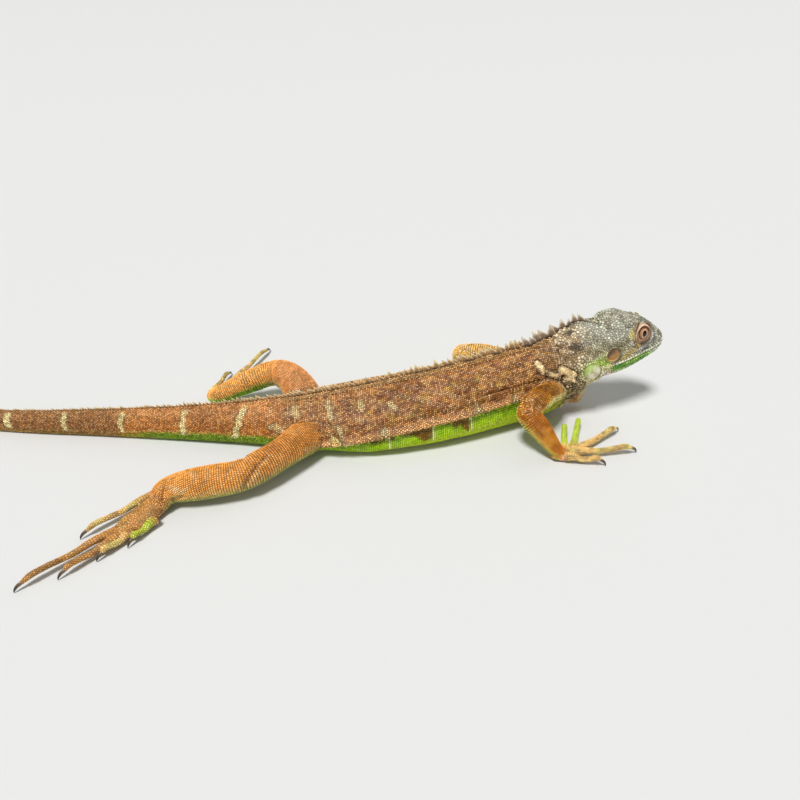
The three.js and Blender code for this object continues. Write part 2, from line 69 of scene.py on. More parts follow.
def ramp(low, high, value):
    t = np.clip((value - low) / (high - low), 0, 1)
    return t * t * (3 - 2 * t)


def bump(centre, width, value):
    """1 at the centre, falling smoothly to 0 at `width` from it."""
    return ramp(1, 0, np.abs(value - centre) / width)


def tree_of(points):
    """A tree that finds the nearest of these points."""
    tree = KDTree(len(points))
    for i, p in enumerate(points.tolist()):
        tree.insert(p, i)
    tree.balance()
    return tree


class Curve:
    """A centripetal Catmull-Rom curve through points, by t from 0 to 1 with equal spans."""

    def __init__(self, points):
        p = np.asarray(points, float)
        self.spans = len(p) - 1
        self.p = np.vstack([2 * p[0] - p[1], p, 2 * p[-1] - p[-2]])
        self.gap = np.linalg.norm(np.diff(self.p, axis=0), axis=1) ** 0.5
        t = np.linspace(0, 1, 2001)
        steps = np.linalg.norm(np.diff(self.at(t), axis=0), axis=1)
        self.reached = np.concatenate([[0], np.cumsum(steps)])
        self.length = self.reached[-1]

    def span(self, t):
        t = np.clip(np.asarray(t, float), 0, 1) * self.spans
        i = np.minimum(t.astype(int), self.spans - 1)
        p0, p1, p2, p3 = (self.p[i + k] for k in range(4))
        d0, d1, d2 = (self.gap[i + k][..., None] for k in range(3))
        d1 = np.where(d1 < 1e-2, 1, d1)
        d0 = np.where(d0 < 1e-2, d1, d0)
        d2 = np.where(d2 < 1e-2, d1, d2)
        m1 = ((p1 - p0) / d0 - (p2 - p0) / (d0 + d1) + (p2 - p1) / d1) * d1
        m2 = ((p2 - p1) / d1 - (p3 - p1) / (d1 + d2) + (p3 - p2) / d2) * d1
        c2 = -3 * p1 + 3 * p2 - 2 * m1 - m2
        c3 = 2 * p1 - 2 * p2 + m1 + m2
        return (t - i)[..., None], p1, m1, c2, c3

    def at(self, t):
        s, c0, c1, c2, c3 = self.span(t)
        return c0 + s * (c1 + s * (c2 + s * c3))

    def way(self, t):
        s, _, c1, c2, c3 = self.span(t)
        return unit(c1 + s * (2 * c2 + s * 3 * c3))

    def t_at(self, distance):
        return np.interp(distance, self.reached, np.linspace(0, 1, len(self.reached)))


def stations(names, *rows):
    return dict(zip(names.split(), np.array(rows, float).T))


def smooth_at(table, at, name):
    """One column of the table at a place, on a smooth curve."""
    x, y = table["at"], table[name]
    slope = np.diff(y) / np.diff(x)
    slope = np.concatenate([slope[:1], (slope[1:] + slope[:-1]) / 2, slope[-1:]])
    i = np.clip(np.searchsorted(x, at, side="right") - 1, 0, len(x) - 2)
    step = x[i + 1] - x[i]
    t = np.clip((at - x[i]) / step, 0, 1)
    t2, t3 = t * t, t * t * t
    start = (2 * t3 - 3 * t2 + 1) * y[i] + (t3 - 2 * t2 + t) * step * slope[i]
    return start + (3 * t2 - 2 * t3) * y[i + 1] + (t3 - t2) * step * slope[i + 1]


def row_at(table, at):
    """All the columns at a place."""
    return (smooth_at(table, at, name) for name in list(table)[1:])


# %% Noise for mottled colour, the same at every run
def noise(places, size, seed=0):
    """Smooth values from 0 to 1 that change over about `size` millimetres, alike or per axis."""
    cell = np.asarray(places) / size + 1000.0
    corner = np.floor(cell).astype(np.int64)
    share = cell - corner
    share = share * share * (3 - 2 * share)
    total = 0.0
    for k in range(8):
        step = np.array([k & 1, k >> 1 & 1, k >> 2 & 1])
        key = (corner + step) @ np.array([73856093, 19349663, 83492791]) + seed * 9176543
        key = (key ^ (key >> 13)) * 1274126177 & 0x7FFFFFFF
        key = (key ^ (key >> 16)) * 668265263 & 0x7FFFFFFF
        weight = np.prod(np.where(step, share, 1 - share), axis=-1)
        total = total + weight * (key / 0x7FFFFFFF)
    return total


# %% [markdown]
# ## The body's own measures
#
# Places along the body are distances from the vent, forward positive. Turns go round a section: 0 is the
# ridge of the back, and positive turns go down the left side.

# %% Body measures
TAIL_LENGTH = 515
BODY_LENGTH = 163
BELLY_POWER = 0.62
BACK_LINE = Curve([(x, y, 0) for x, y in (
    (-497, 186), (-446, 106), (-374, 46), (-290, 11), (-210, -2), (-157, -5), (-110, -6.5),
    (-62, -6.5), (-30, -3.5), (0, 0), (30, 5.5), (60, 13), (84, 18.5), (104, 22.5),
)])
VENT_AT = BACK_LINE.length - BODY_LENGTH
BODY = stations(
    "at half ridge wide under roof",
    (-TAIL_LENGTH, 0.9, 1.8, 0.9, -0.1, 1),
    (-390, 1.6, 4.2, 1.9, -0.2, 1),
    (-240, 3.1, 9.1, 3.7, -0.3, 1.05),
    (-100, 5, 15.2, 5.6, -0.4, 1.1),
    (-45, 8.8, 19.2, 6.8, -0.5, 1.15),
    (-12, 13.2, 22.8, 7.2, -0.5, 1.25),
    (10, 20.6, 25.2, 7.2, -0.5, 1.4),
    (34, 25.2, 28.4, 7.8, -0.6, 1.45),
    (60, 24.4, 32.6, 9.6, -0.6, 1.45),
    (88, 22, 36.8, 12, -0.6, 1.35),
    (112, 18.8, 40, 15.5, -0.5, 1.3),
    (134, 15.8, 44.4, 20, 0.4, 1.2),
    (149, 13.4, 51, 27, 6.5, 1.05),
    (157, 12.6, 53.9, 31.5, 12.5, 0.95),
    (BODY_LENGTH, 11.8, 56, 35, 22, 0.9),
)


def back_frame(at):
    """The back line's point on the floor, the way forward and the way to the left."""
    t = BACK_LINE.t_at(np.clip(VENT_AT + at, 0, BACK_LINE.length))
    way = BACK_LINE.way(t)
    return BACK_LINE.at(t), way, np.cross(UP, way)


def body_surface(at, turn, grow=0.0):
    origin, _, left = back_frame(at)
    half, ridge, wide, under, roof = row_at(BODY, at)
    upper = np.cos(turn) >= 0
    reach = np.where(upper, ridge + grow - wide, wide - under + grow)
    out = (half + grow) * power(np.sin(turn), np.where(upper, roof, BELLY_POWER))
    return origin + left * out[..., None] + UP * (wide + reach * np.cos(turn))[..., None]


print(f"back line {BACK_LINE.length:.1f} mm, tail {TAIL_LENGTH} mm, snout to vent {BODY_LENGTH + 43} mm")

# %% Head measures
HEAD_ORIGIN = np.array([99.0, 19.0, 30.6])
HEAD_YAW, HEAD_PITCH = math.radians(11), math.radians(12)
SNOUT = 43.4
HEAD = stations(
    "at half top wide bottom box",
    (-16, 10.4, 21, 6, -11, 0.95),
    (-6, 11.6, 22.9, 5, -10.6, 0.9),
    (4, 12.2, 22.9, 4, -9.8, 0.8),
    (12, 12.2, 24.8, 3.6, -9.2, 0.7),
    (19, 11.2, 24.6, 3.6, -8.6, 0.66),
    (25, 9.7, 21, 3.8, -7.9, 0.66),
    (31, 8.2, 17.8, 3.4, -7, 0.7),
    (36, 6.8, 13.4, 3, -6, 0.76),
    (39.8, 5.3, 9.2, 2.6, -4.9, 0.84),
    (42.4, 3.5, 5.8, 1.8, -2.8, 0.95),
    (SNOUT, 1.6, 3.4, 1.4, -0.8, 1),
)
cy, sy, cp, sp = math.cos(HEAD_YAW), math.sin(HEAD_YAW), math.cos(HEAD_PITCH), math.sin(HEAD_PITCH)
HEAD_TURN = np.array([[cy, -sy, 0], [sy, cy, 0], [0, 0, 1]])
HEAD_TURN = HEAD_TURN @ np.array([[cp, 0, -sp], [0, 1, 0], [sp, 0, cp]])


def in_head(p):
    """To the model's frame from the head's own: x to the snout, y left, z up from the mouth."""
    return np.asarray(p, float) @ HEAD_TURN.T + HEAD_ORIGIN


def to_head(p):
    return (np.asarray(p, float) - HEAD_ORIGIN) @ HEAD_TURN


def head_surface(at, turn, grow=0.0):
    half, top, wide, bottom, box = row_at(HEAD, at)
    cos, sin = np.cos(turn), np.sin(turn)
    reach = np.where(cos >= 0, top + grow - wide, wide - bottom + grow)
    return in_head(np.stack([at, (half + grow) * power(sin, box), wide + reach * power(cos, box)], -1))


EYE = np.array([28.3, 5.5, 11.9])
EAR = np.array([10.6, 11.6, 7.3])
SHIELD = np.array([-1.4, 12.7, 1.0])
NOSTRIL = np.array([40.4, 4.4, 6.2])
MOUTH_CORNER = 11

# %% Limb and digit measures
LIMBS = {
    "arm_right": (
        [(84.5, 11, 17), (78, 0.5, 21.5), (70, -9, 23.5), (64.2, -14.8, 20.5), (71, -20.8, 13.3),
         (77.6, -26, 6.4), (80.5, -26.3, 4.8)],
        [(6, 6), (6.8, 7), (6.3, 6.5), (6.1, 6.2), (5.7, 5.5), (3.9, 3.6), (3.7, 3)],
    ),
    "arm_left": (
        [(80, 26, 18), (65, 31, 20), (49, 35, 24.5), (35.8, 39.8, 22.4), (40.8, 48, 14.4),
         (53, 55, 6.2), (56, 56.5, 4.6)],
        [(7, 7), (6.8, 7), (6.1, 6.3), (5.7, 5.8), (6, 5.8), (4.2, 3.9), (4, 3)],
    ),
    "leg_right": (
        [(-36, -8, 10), (-46.5, -21.5, 10.8), (-57.4, -37, 12), (-72.6, -50, 10.8), (-90, -54.4, 10),
         (-105, -57, 7.6), (-109.5, -61.5, 5.2)],
        [(9.2, 9), (9, 9), (7.4, 7.6), (7.6, 7.6), (7.8, 7.8), (6.6, 6), (6.4, 4.2)],
    ),
    "leg_left": (
        [(-47.5, -1, 11), (-53, 10, 15.8), (-60, 19, 19.3), (-69.5, 25.5, 18.6), (-88, 22.6, 12.8),
         (-101.3, 19.9, 7.7), (-105.8, 24.8, 4.9)],
        [(9.6, 9.6), (9.6, 9.6), (8.2, 8.4), (7.2, 7.4), (6.4, 6.2), (5.2, 5), (5.2, 4)],
    ),
}
# Each foot or hand: the palm's start, heading, length and half-sizes, how thick its digits are, how high
# their tips lie, and each digit's root, heading and length.
PALMS = {
    "arm_right": dict(
        start=(78.5, -25.8, 4.2), heading=14, length=10, size=(4.9, 2.9), thick=(1.8, 1.4), tip=3.6,
        digits=[(83.6, -21, 78, 17.5), (88.2, -20.5, 70, 23.5), (89.5, -23, 35, 30), (88.5, -25.4, 7, 29),
                (84.5, -28.6, -10, 14.5)],
    ),
    "arm_left": dict(
        start=(54, 55.5, 4.2), heading=30, length=10, size=(4.8, 2.9), thick=(1.75, 1.35), tip=3.2,
        digits=[(61, 55, -16, 14), (63.5, 58.5, 4, 18), (63.5, 61, 16, 22), (61.5, 63, 30, 20),
                (57.5, 63, 62, 13)],
    ),
    "leg_right": dict(
        start=(-108, -60, 4.8), heading=-126, length=22, size=(6.2, 3.6), thick=(1.75, 1.2), tip=3.0,
        digits=[(-107.8, -71.5, -120, 11), (-115.5, -78.5, -127, 12.5), (-121, -82.2, -131, 20.5),
                (-124.5, -79.8, -135, 34), (-115, -57, -135, 28)],
    ),
    "leg_left": dict(
        start=(-103.8, 23.4, 4.5), heading=68, length=17, size=(6, 3.4), thick=(1.6, 1.15), tip=2.8,
        digits=[(-94.5, 31, 22, 11), (-94, 37, 38, 17), (-95.5, 40, 50, 26), (-98.5, 41.5, 71.5, 39),
                (-108.4, 30.5, 78, 20)],
    ),
}
DIGIT_TAPER = (1.25, 1.02, 0.9, 0.9, 1.0, 0.7)
CLAW_LENGTH = 4.4


class Tube:
    """A round limb along a curve. Turn 0 is its side, a quarter turn its top."""

    def __init__(self, points, sizes):
        self.path = Curve(points)
        self.girth = Curve(sizes)

    def frame(self, t):
        along = self.path.way(t)
        side = unit(np.cross(UP, along))
        return along, side, np.cross(along, side)

    def surface(self, t, turn, grow=0.0):
        _, side, above = self.frame(t)
        size = self.girth.at(t) + grow
        wide, high = size[..., :1] * np.cos(turn)[..., None], size[..., 1:] * np.sin(turn)[..., None]
        return self.path.at(t) + side * wide + above * high


def heading(degrees):
    return np.array([math.cos(math.radians(degrees)), math.sin(math.radians(degrees)), 0.0])


def digit_tube(spec, x, y, turned, length):
    """A digit that arches over its knuckles to a low tip."""
    arch, tip = 2.7 + 0.04 * length, spec["tip"]
    shares = [(-0.12, 3.2), (0.16, arch + 0.3), (0.42, arch - 0.5), (0.7, arch + 0.3), (0.88, tip + 1.3)]
    shares.append((1, tip))
    points = [np.array([x, y, 0]) + share * length * heading(turned) + UP * z for share, z in shares]
    base = np.linspace(*spec["thick"], len(shares))
    return Tube(points, [(taper * b * 1.08, taper * b) for taper, b in zip(DIGIT_TAPER, base)])


def palm_tube(spec):
    wide, high = spec["size"]
    start = np.array(spec["start"]) * (1, 1, 0)
    shares = [(-0.25, spec["start"][2]), (0.35, high * 0.85), (0.8, high * 0.72), (1.12, high * 0.52)]
    points = [start + share * spec["length"] * heading(spec["heading"]) + UP * z for share, z in shares]
    sizes = [(wide * 0.66, high), (wide, high), (wide * 0.92, high * 0.8), (wide * 0.55, high * 0.5)]
    return Tube(points, sizes)


TUBES = {name: Tube(*spec) for name, spec in LIMBS.items()}
for name, spec in PALMS.items():
    TUBES[f"palm_{name}"] = palm_tube(spec)
    for i, digit in enumerate(spec["digits"]):
        TUBES[f"digit_{name}_{i + 1}"] = digit_tube(spec, *digit)
print(len(TUBES), "tubes for limbs, palms and digits")

# %% [markdown]
# ## One skin over everything soft
#
# A real skin has no seams. Each part of the body is first made as a closed tube, a little thinner than
# the CAD because the scales add their own depth. A voxel remesh fuses the tubes into one surface, a
# smoothing softens the armpits and groins, and a decimation takes away triangles that flat places don't
# need.

# %% Closed tubes from a surface function
COAT_DEPTH = 0.34  # the skin lies this deep inside the CAD solids
FLOOR_CLEAR = 0.3  # and this high over the floor, so that the scales below it fit
OVER_FLOOR = 0.02  # scales and claws come no lower than this


def round_steps(columns):
    """Equal turns round a full circle."""
    return np.arange(columns) / columns * 2 * np.pi


def mesh_grid(rows, columns):
    return np.meshgrid(rows, columns, indexing="ij")


def closed_grid(points):
    """Vertices and faces of a closed tube from a grid, rows along it and columns round it."""
    rows, columns = points.shape[:2]
    hubs = [points[0].mean(0), points[-1].mean(0)]
    vertices = np.vstack([points.reshape(-1, 3), hubs])
    i, k = mesh_grid(np.arange(rows - 1) * columns, np.arange(columns))
    after = (k + 1) % columns
    quads = np.stack([i + k, i + after, i + columns + after, i + columns + k], -1)
    faces = [tuple(q) for q in quads.reshape(-1, 4).tolist()]
    first, last = rows * columns, rows * columns + 1
    for k in range(columns):
        after = (k + 1) % columns
        faces.append((first, after, k))
        faces.append((last, (rows - 1) * columns + k, (rows - 1) * columns + after))
    return vertices, faces


def grid_over(surface, start, end, rows, columns, grow):
    t, turn = mesh_grid(np.linspace(start, end, rows), round_steps(columns))
    return surface(t, turn, grow)


def blob(centre, radii, rows=16, columns=24):
    """An ellipsoid in the head's frame."""
    a, b = mesh_grid(np.linspace(0.02, np.pi - 0.02, rows), round_steps(columns))
    ball = np.stack([np.cos(a), np.sin(a) * np.cos(b), np.sin(a) * np.sin(b)], -1)
    return in_head(ball * radii + centre)


DEWLAP_AT = np.array([91.6, 19.0, 1.0])
# The free edge of the dewlap, from behind to the front: ahead and up from DEWLAP_AT.
DEWLAP_EDGE = Curve(
    [(-16, 6), (-6, 5.2), (-0.4, 3.9), (3.2, 2.3), (6, 1.2), (9.4, 0.6), (11.2, 2.2), (12.6, 11), (13.4, 26)]
)


def dewlap_sheet():
    """The fold of skin under the throat: thick at its root, thin at its edge."""
    edge = DEWLAP_EDGE.at(np.linspace(0, 1, 60))
    root = np.array([-4.0, 24.0])
    shares = np.linspace(0, 1, 16)
    flat = root + (edge - root) * shares[:, None, None]
    thick = np.interp(shares, [0, 0.8, 0.94, 1], [1.5, 0.9, 0.7, 0.25])
    ahead = heading(math.degrees(HEAD_YAW))
    aside = np.cross(UP, ahead)
    sheet = DEWLAP_AT + flat[..., :1] * ahead + flat[..., 1:] * UP
    return np.stack([sheet + aside * thick[:, None, None], sheet - aside * thick[:, None, None]])


def closed_sheet(sides):
    """Two grids of points, back to back, closed along their border."""
    left, right = sides
    rows, columns = left.shape[:2]
    count = rows * columns
    number = np.arange(count).reshape(rows, columns)
    quads = np.stack([number[:-1, :-1], number[:-1, 1:], number[1:, 1:], number[1:, :-1]], -1).reshape(-1, 4)
    faces = []
    for quad in quads:
        faces += [tuple(quad), tuple(quad[::-1] + count)]
    border = np.concatenate([number[0, :-1], number[:-1, -1], number[-1, :0:-1], number[:0:-1, 0]])
    for a, b in zip(border, np.roll(border, -1)):
        faces.append((b, a, a + count, b + count))
    return np.vstack([left.reshape(-1, 3), right.reshape(-1, 3)]), faces


# %% Mesh objects from arrays
def placed(name, data):
    """A new object in the scene."""
    made = bpy.data.objects.new(name, data)
    bpy.context.scene.collection.objects.link(made)
    return made


def mesh_object(name, vertices, faces):
    mesh = bpy.data.meshes.new(name)
    mesh.from_pydata((np.asarray(vertices) * MM).tolist(), [], [tuple(map(int, f)) for f in faces])
    mesh.validate()
    return placed(name, mesh)


def rows_from(items, key, kind=np.float32):
    """Three values for each item of a mesh."""
    flat = np.empty(len(items) * 3, kind)
    items.foreach_get(key, flat)
    return flat.reshape(-1, 3)


def points_of(mesh):
    return rows_from(mesh.vertices, "co").astype(float) / MM


def normals_of(mesh):
    return rows_from(mesh.vertex_normals, "vector").astype(float)


def triangles_of(mesh):
    mesh.calc_loop_triangles()
    return rows_from(mesh.loop_triangles, "vertices", np.int32)


def set_points(mesh, points):
    mesh.vertices.foreach_set("co", (points * MM).astype(np.float32).ravel())
    mesh.update()


def evaluated(obj):
    """The object with its modifiers applied."""
    done = bpy.data.meshes.new_from_object(obj.evaluated_get(bpy.context.evaluated_depsgraph_get()))
    old = obj.data
    obj.modifiers.clear()
    obj.data = done
    bpy.data.meshes.remove(old)
    return obj


# %% Lay out the tubes, and remember where each of their points is along its part
sources = []  # (name, points, along, turn)


def add_tube(name, surface, start, end, step, columns, grow):
    rows = max(int(abs(end - start) / step), 8)
    places = mesh_grid(np.linspace(start, end, rows), round_steps(columns))
    sources.append((name, surface(*places, grow), *places))


add_tube("body", body_surface, -TAIL_LENGTH, BODY_LENGTH, 1.3, 56, -COAT_DEPTH)
add_tube("head", head_surface, HEAD["at"][0], SNOUT - 0.3, 0.9, 56, -COAT_DEPTH)
for name, tube in TUBES.items():
    shrink = {"digit": 0.14, "palm_": 0.25}.get(name[:5], COAT_DEPTH)
    columns = 16 if name.startswith("digit") else 32
    add_tube(name, tube.surface, 0, 1, 1.2 / tube.path.length, columns, -shrink)
for side in (-1, 1):
    sided = np.array([1, side, 1])
    for centre, radii in (
        ((26, 5.8, 15.2), (7.4, 2.6, 2.1)),  # the ridge of the brow
        ((-0.5, 8.2, -0.6), (8.6, 4.9, 7.6)),  # the jowl
        (EYE, (5.5, 4.7, 5.5)),  # the lids, drawn over the eyeball
        ((31, 5.2, 7.5), (6.5, 3.1, 3.2)),  # the cheek below the eye
    ):
        grid = blob(np.array(centre) * sided, radii)
        ahead = to_head(grid)[..., 0]
        sources.append(("head", grid, ahead, 0 * ahead))

skin_points, skin_faces = [], []
count = 0
for vertices, faces in [*(closed_grid(source[1]) for source in sources), closed_sheet(dewlap_sheet())]:
    skin_points.append(vertices)
    skin_faces += [tuple(v + count for v in f) for f in faces]
    count += len(vertices)
skin = mesh_object("skin", np.vstack(skin_points), skin_faces)
print(f"{count} points in {len(sources) + 1} closed shapes")

# %% Fuse, smooth and thin out
PART_NAMES = ["body", "head", *TUBES, "dewlap"]
PART = {name: i for i, name in enumerate(PART_NAMES)}
sheet = dewlap_sheet().reshape(-1, 3)
sources.append(("dewlap", sheet, np.zeros(len(sheet)), np.zeros(len(sheet))))
known_part = np.concatenate([np.full(t.size, PART[name]) for name, _, t, _ in sources])
known_along = np.concatenate([t.ravel() for _, _, t, _ in sources])
known_turn = np.concatenate([turn.ravel() for _, _, _, turn in sources])
known_tree = tree_of(np.vstack([grid.reshape(-1, 3) for _, grid, _, _ in sources]))


def part_of(places):
    """For each place: the part of the body, how far along it, and the turn round it."""
    nearest = np.array([known_tree.find(p)[1] for p in places.tolist()])
    return known_part[nearest], known_along[nearest], known_turn[nearest]


def with_modifier(obj, kind, **settings):
    added = obj.modifiers.new(kind.title(), kind)
    for name, value in settings.items():
        setattr(added, name, value)
    return evaluated(obj)


VOXEL = 0.52
with_modifier(skin, "REMESH", mode="VOXEL", voxel_size=VOXEL * MM, use_smooth_shade=True)
print(f"fused: {len(skin.data.vertices)} points")

FINE_PARTS = [PART[name] for name in PART_NAMES if name.startswith("digit")] + [PART["dewlap"]]
place = points_of(skin.data)
part, along, turn = part_of(place)
loose = np.where(np.isin(part, FINE_PARTS), 0.12, np.where(part == PART["head"], 0.45, 1.0))
group = skin.vertex_groups.new(name="loose")
for level in np.unique(loose):
    group.add(np.flatnonzero(loose == level).tolist(), float(level), "REPLACE")
with_modifier(skin, "SMOOTH", factor=0.5, iterations=9, vertex_group="loose")

SKIN_TRIANGLES = 165_000
share = SKIN_TRIANGLES / (2 * len(skin.data.polygons))
with_modifier(
    skin, "DECIMATE", decimate_type="COLLAPSE", ratio=share, vertex_group="loose", vertex_group_factor=1.0
)
print(f"skin: {len(skin.data.polygons)} triangles")

# %% [markdown]
# ## Sculpting the skin
#
# The remesh gives the big forms, and the folds come next: the ledge along the flank, the creases of the
# neck, and above all the head. Round the eyes, the ears and the lips the edges of the triangles are
# halved first, so that fine folds have points to hold them. Each fold is a bump or a dip as a function of
# place, so both sides of the head come out alike.

# %% More points where the folds are finest
EYE_MIDDLE = np.array([28.15, 12.35])  # ahead and up in the head's frame
EYE_HALF = (4.0, 4.9)  # of the rim's outer edge, across and along its long axis
EYE_LEAN = math.radians(13)


def eye_rings(h):
    """1 on the outer edge of the lid's rim, less inside it and more outside it."""
    dx, dz = h[..., 0] - EYE_MIDDLE[0], h[..., 2] - EYE_MIDDLE[1]
    across = dx * math.cos(EYE_LEAN) - dz * math.sin(EYE_LEAN)
    along = dx * math.sin(EYE_LEAN) + dz * math.cos(EYE_LEAN)
    return np.hypot(across / EYE_HALF[0], along / EYE_HALF[1])


def ear_distance(h):
    return np.hypot(h[..., 0] - EAR[0], h[..., 2] - EAR[2])


def shield_distance(h):
    return np.hypot(h[..., 0] - SHIELD[0], (h[..., 2] - SHIELD[2]) * 0.95)


def refine(obj, chosen):
    """Halves the edges of the triangles whose corners are all chosen."""
    import bmesh

    shape = bmesh.new()
    shape.from_mesh(obj.data)
    shape.verts.ensure_lookup_table()
    edges = {e for f in shape.faces if all(chosen[v.index] for v in f.verts) for e in f.edges}
    bmesh.ops.subdivide_edges(shape, edges=list(edges), cuts=1, use_grid_fill=True)
    bmesh.ops.triangulate(shape, faces=[f for f in shape.faces if len(f.verts) > 3])
    shape.to_mesh(obj.data)
    shape.free()


h = to_head(points_of(skin.data))
near_eye = (eye_rings(h) < 1.75) & (np.abs(h[:, 1]) > 3.5)
near_ear = (ear_distance(h) < 5.4) & (np.abs(h[:, 1]) > 6)
near_lip = (np.abs(h[:, 2]) < 0.9) & (h[:, 0] > MOUTH_CORNER - 2)
near_nostril = np.linalg.norm(np.abs(h) - np.abs(NOSTRIL), axis=1) < 2.2
of_head = (h[:, 0] > -9) & (h[:, 2] > -13)
refine(skin, of_head & (near_eye | near_ear | near_lip | near_nostril))
print(f"skin: {len(skin.data.polygons)} triangles")

# %% Folds of the head
def segment_distance(p, a, b):
    """Distance from points to a segment."""
    a, b = np.array(a, float), np.array(b, float)
    t = np.clip((p - a) @ (b - a) / ((b - a) @ (b - a)), 0, 1)
    return np.linalg.norm(p - a - t[:, None] * (b - a), axis=1)


def side_distance(h, a, b):
    """Distance from points of the head to a segment, as seen from the side."""
    return segment_distance(h[:, [0, 2]], a, b)


# Soft lobes behind and below the jaw, in the head's frame: from, to, radius and height.
LOBES = [
    ((-17.0, 11.0, 6.4), (-10.0, 12.4, 0.8), 2.1, 1.3),
    ((-16.0, 11.2, 0.6), (-11.5, 11.4, -1.8), 1.8, 1.3),
    ((-13.6, 10.4, -3.4), (-6.6, 8.8, -7.6), 2.5, 2.0),
    ((-8.4, 7.4, -8.4), (-4.2, 5.2, -11.5), 1.9, 1.6),
    ((-28.5, 8.0, 13.0), (-26.5, 10.4, 8.0), 1.7, 1.2),
    ((-25.5, 10.6, 7.4), (-19.5, 11.5, 3.6), 1.6, 1.1),
]
# Creases of the right leg: the groin, the knee and two at the ankle, as points, half-width and depth.
CREASES = [
    ([(-55, -20, 18), (-49, -21.5, 19.5), (-42, -19.6, 18.9), (-37, -20.3, 18.7), (-33, -21.9, 17.6),
      (-31, -24.2, 15), (-28.6, -27.7, 9.6)], 1.5, 1.0),
    ([(-61.5, -46, 19), (-65, -50.5, 16.6), (-70.5, -57.5, 11)], 2.3, 0.9),
    ([(-104.5, -57, 14), (-105, -60, 12), (-105.5, -63.5, 8)], 1.6, 0.9),
    ([(-101.5, -63, 8.4), (-96, -62.6, 10.6)], 1.5, 0.8),
]
SEEN = np.array([[1, 0, 0], [0, 0.8, 0.6]])  # creases are measured on this sloping plane


def crease_depth(p, wider=1.0):
    """How deep the creases of the leg are at each place."""
    deep = np.zeros(len(p))
    for points, width, depth in CREASES:
        for start, end in zip(points, points[1:]):
            flat = segment_distance(p @ SEEN.T, SEEN @ start, SEEN @ end)
            close = ramp(7, 5, segment_distance(p, start, end))
            deep = np.maximum(deep, depth * close * bump(0, width * wider, flat))
    return deep


def one_side(h):
    """Points in the head's frame, all mirrored to its left side."""
    return np.stack([h[:, 0], np.abs(h[:, 1]), h[:, 2]], -1)


def head_folds(h):
    """How far each point of the head moves out along its normal, and how far straight in."""
    h = one_side(h)
    outer = ramp(3.5, 5.5, h[:, 1])
    e = eye_rings(h)
    above = ramp(-1.5, 3, h[:, 2] - EYE_MIDDLE[1])
    out = outer * (
        0.42 * bump(0.9, 0.15, e)
        - 0.34 * bump(1.1, 0.11, e)
        + 0.22 * bump(1.25, 0.13, e)
        - (0.2 + 0.38 * above) * bump(1.43, 0.14, e)
        + 0.3 * above * bump(1.66, 0.2, e)
    )
    sink = outer * 2.4 * ramp(0.82, 0.7, e)
    ear = ear_distance(h)
    side = ramp(6, 8, h[:, 1])
    out += side * (0.34 * bump(3.95, 0.85, ear) - 0.25 * bump(5.0, 0.6, ear))
    sink += side * 1.25 * ramp(3.5, 3.1, ear)
    # The dome of the skull stands over a dip, and the nape rises again behind it.
    crown = ramp(16, 20, h[:, 2])
    out += crown * (1.2 * bump(-2, 6, h[:, 0]) - 1.2 * bump(7.5, 4.5, h[:, 0]))
    # Low swellings over the temple and the jaw muscle, with the hollow between them.
    temple = side_distance(h, (19, 14.5), (8, 15.5))
    out += ramp(4, 7, h[:, 1]) * (0.5 * bump(0, 3.2, temple) - 0.45 * bump(4.2, 1.6, temple))
    shield = shield_distance(h)
    front = ramp(-2, 3, h[:, 0] - SHIELD[0]) * ramp(3, -1, h[:, 2])
    out -= side * (0.35 + 0.4 * front) * bump(5.2, 0.8, shield)
    lip = (h[:, 0] > MOUTH_CORNER - 1) * ramp(MOUTH_CORNER - 1, MOUTH_CORNER + 2, h[:, 0])
    out += lip * (0.16 * bump(1.0, 0.8, np.abs(h[:, 2])) - 0.5 * bump(0, 0.42, h[:, 2]))
    nostril = np.hypot(h[:, 0] - NOSTRIL[0], h[:, 2] - NOSTRIL[2])
    sink += 1.3 * bump(0, 0.85, nostril) * (h[:, 1] > 2)
    out += 0.22 * bump(1.25, 0.5, nostril) * (h[:, 1] > 2)
    # A crease runs back from under the eye to the top of the ear, and a fold curls round its front end.
    crease = side_distance(h, (23.5, 7.0), (14.0, 11.2))
    out -= ramp(5, 7, h[:, 1]) * 0.5 * bump(0, 0.9, crease)
    fold = side_distance(h, (22.0, 8.0), (25.5, 4.6))
    out += ramp(5, 7, h[:, 1]) * (0.45 * bump(1.1, 0.9, fold) - 0.4 * bump(0, 0.6, fold))
    for start, end, radius, height in LOBES:
        away = segment_distance(h, start, end)
        dome = height * np.sqrt(np.clip(1 - (away / radius) ** 2, 0, 1))
        out += dome - 0.5 * bump(radius + 0.55, 0.7, away)
    return out, sink


def body_place(p):
    """Distance from the vent, distance to the left of the back line, and height."""
    line = np.linspace(-TAIL_LENGTH, BODY_LENGTH, 900)
    origin, _, _ = back_frame(line)
    tree, flat = tree_of(origin), p * (1, 1, 0)
    k = np.array([tree.find(q)[1] for q in flat.tolist()])
    _, forward, left = back_frame(line[k])
    gap = flat - origin[k]
    return line[k] + (gap * forward).sum(-1), (gap * left).sum(-1), p[:, 2]


def fold_height(at):
    """The ledge along the flank, from the groin to the armpit."""
    places = [-30, 8, 28, 47, 67, 89, 112, 128, 150]
    return np.interp(at, places, [6.0, 6.4, 9.6, 12.8, 15.6, 18.0, 20.4, 21, 21])


def second_fold(at, z):
    """Height over the second fold, which runs from the shoulder to the flank."""
    return z - 27.0 - 0.09 * (at - 94)


# %% Folds of the trunk and limbs
place, normal = points_of(skin.data), normals_of(skin.data)
part, along, turn = part_of(place)
h = to_head(place)
out, sink = head_folds(h)
is_head = (h[:, 0] > -31) & (h[:, 2] > -14) & (part < 2)
out, sink = out * is_head, sink * is_head

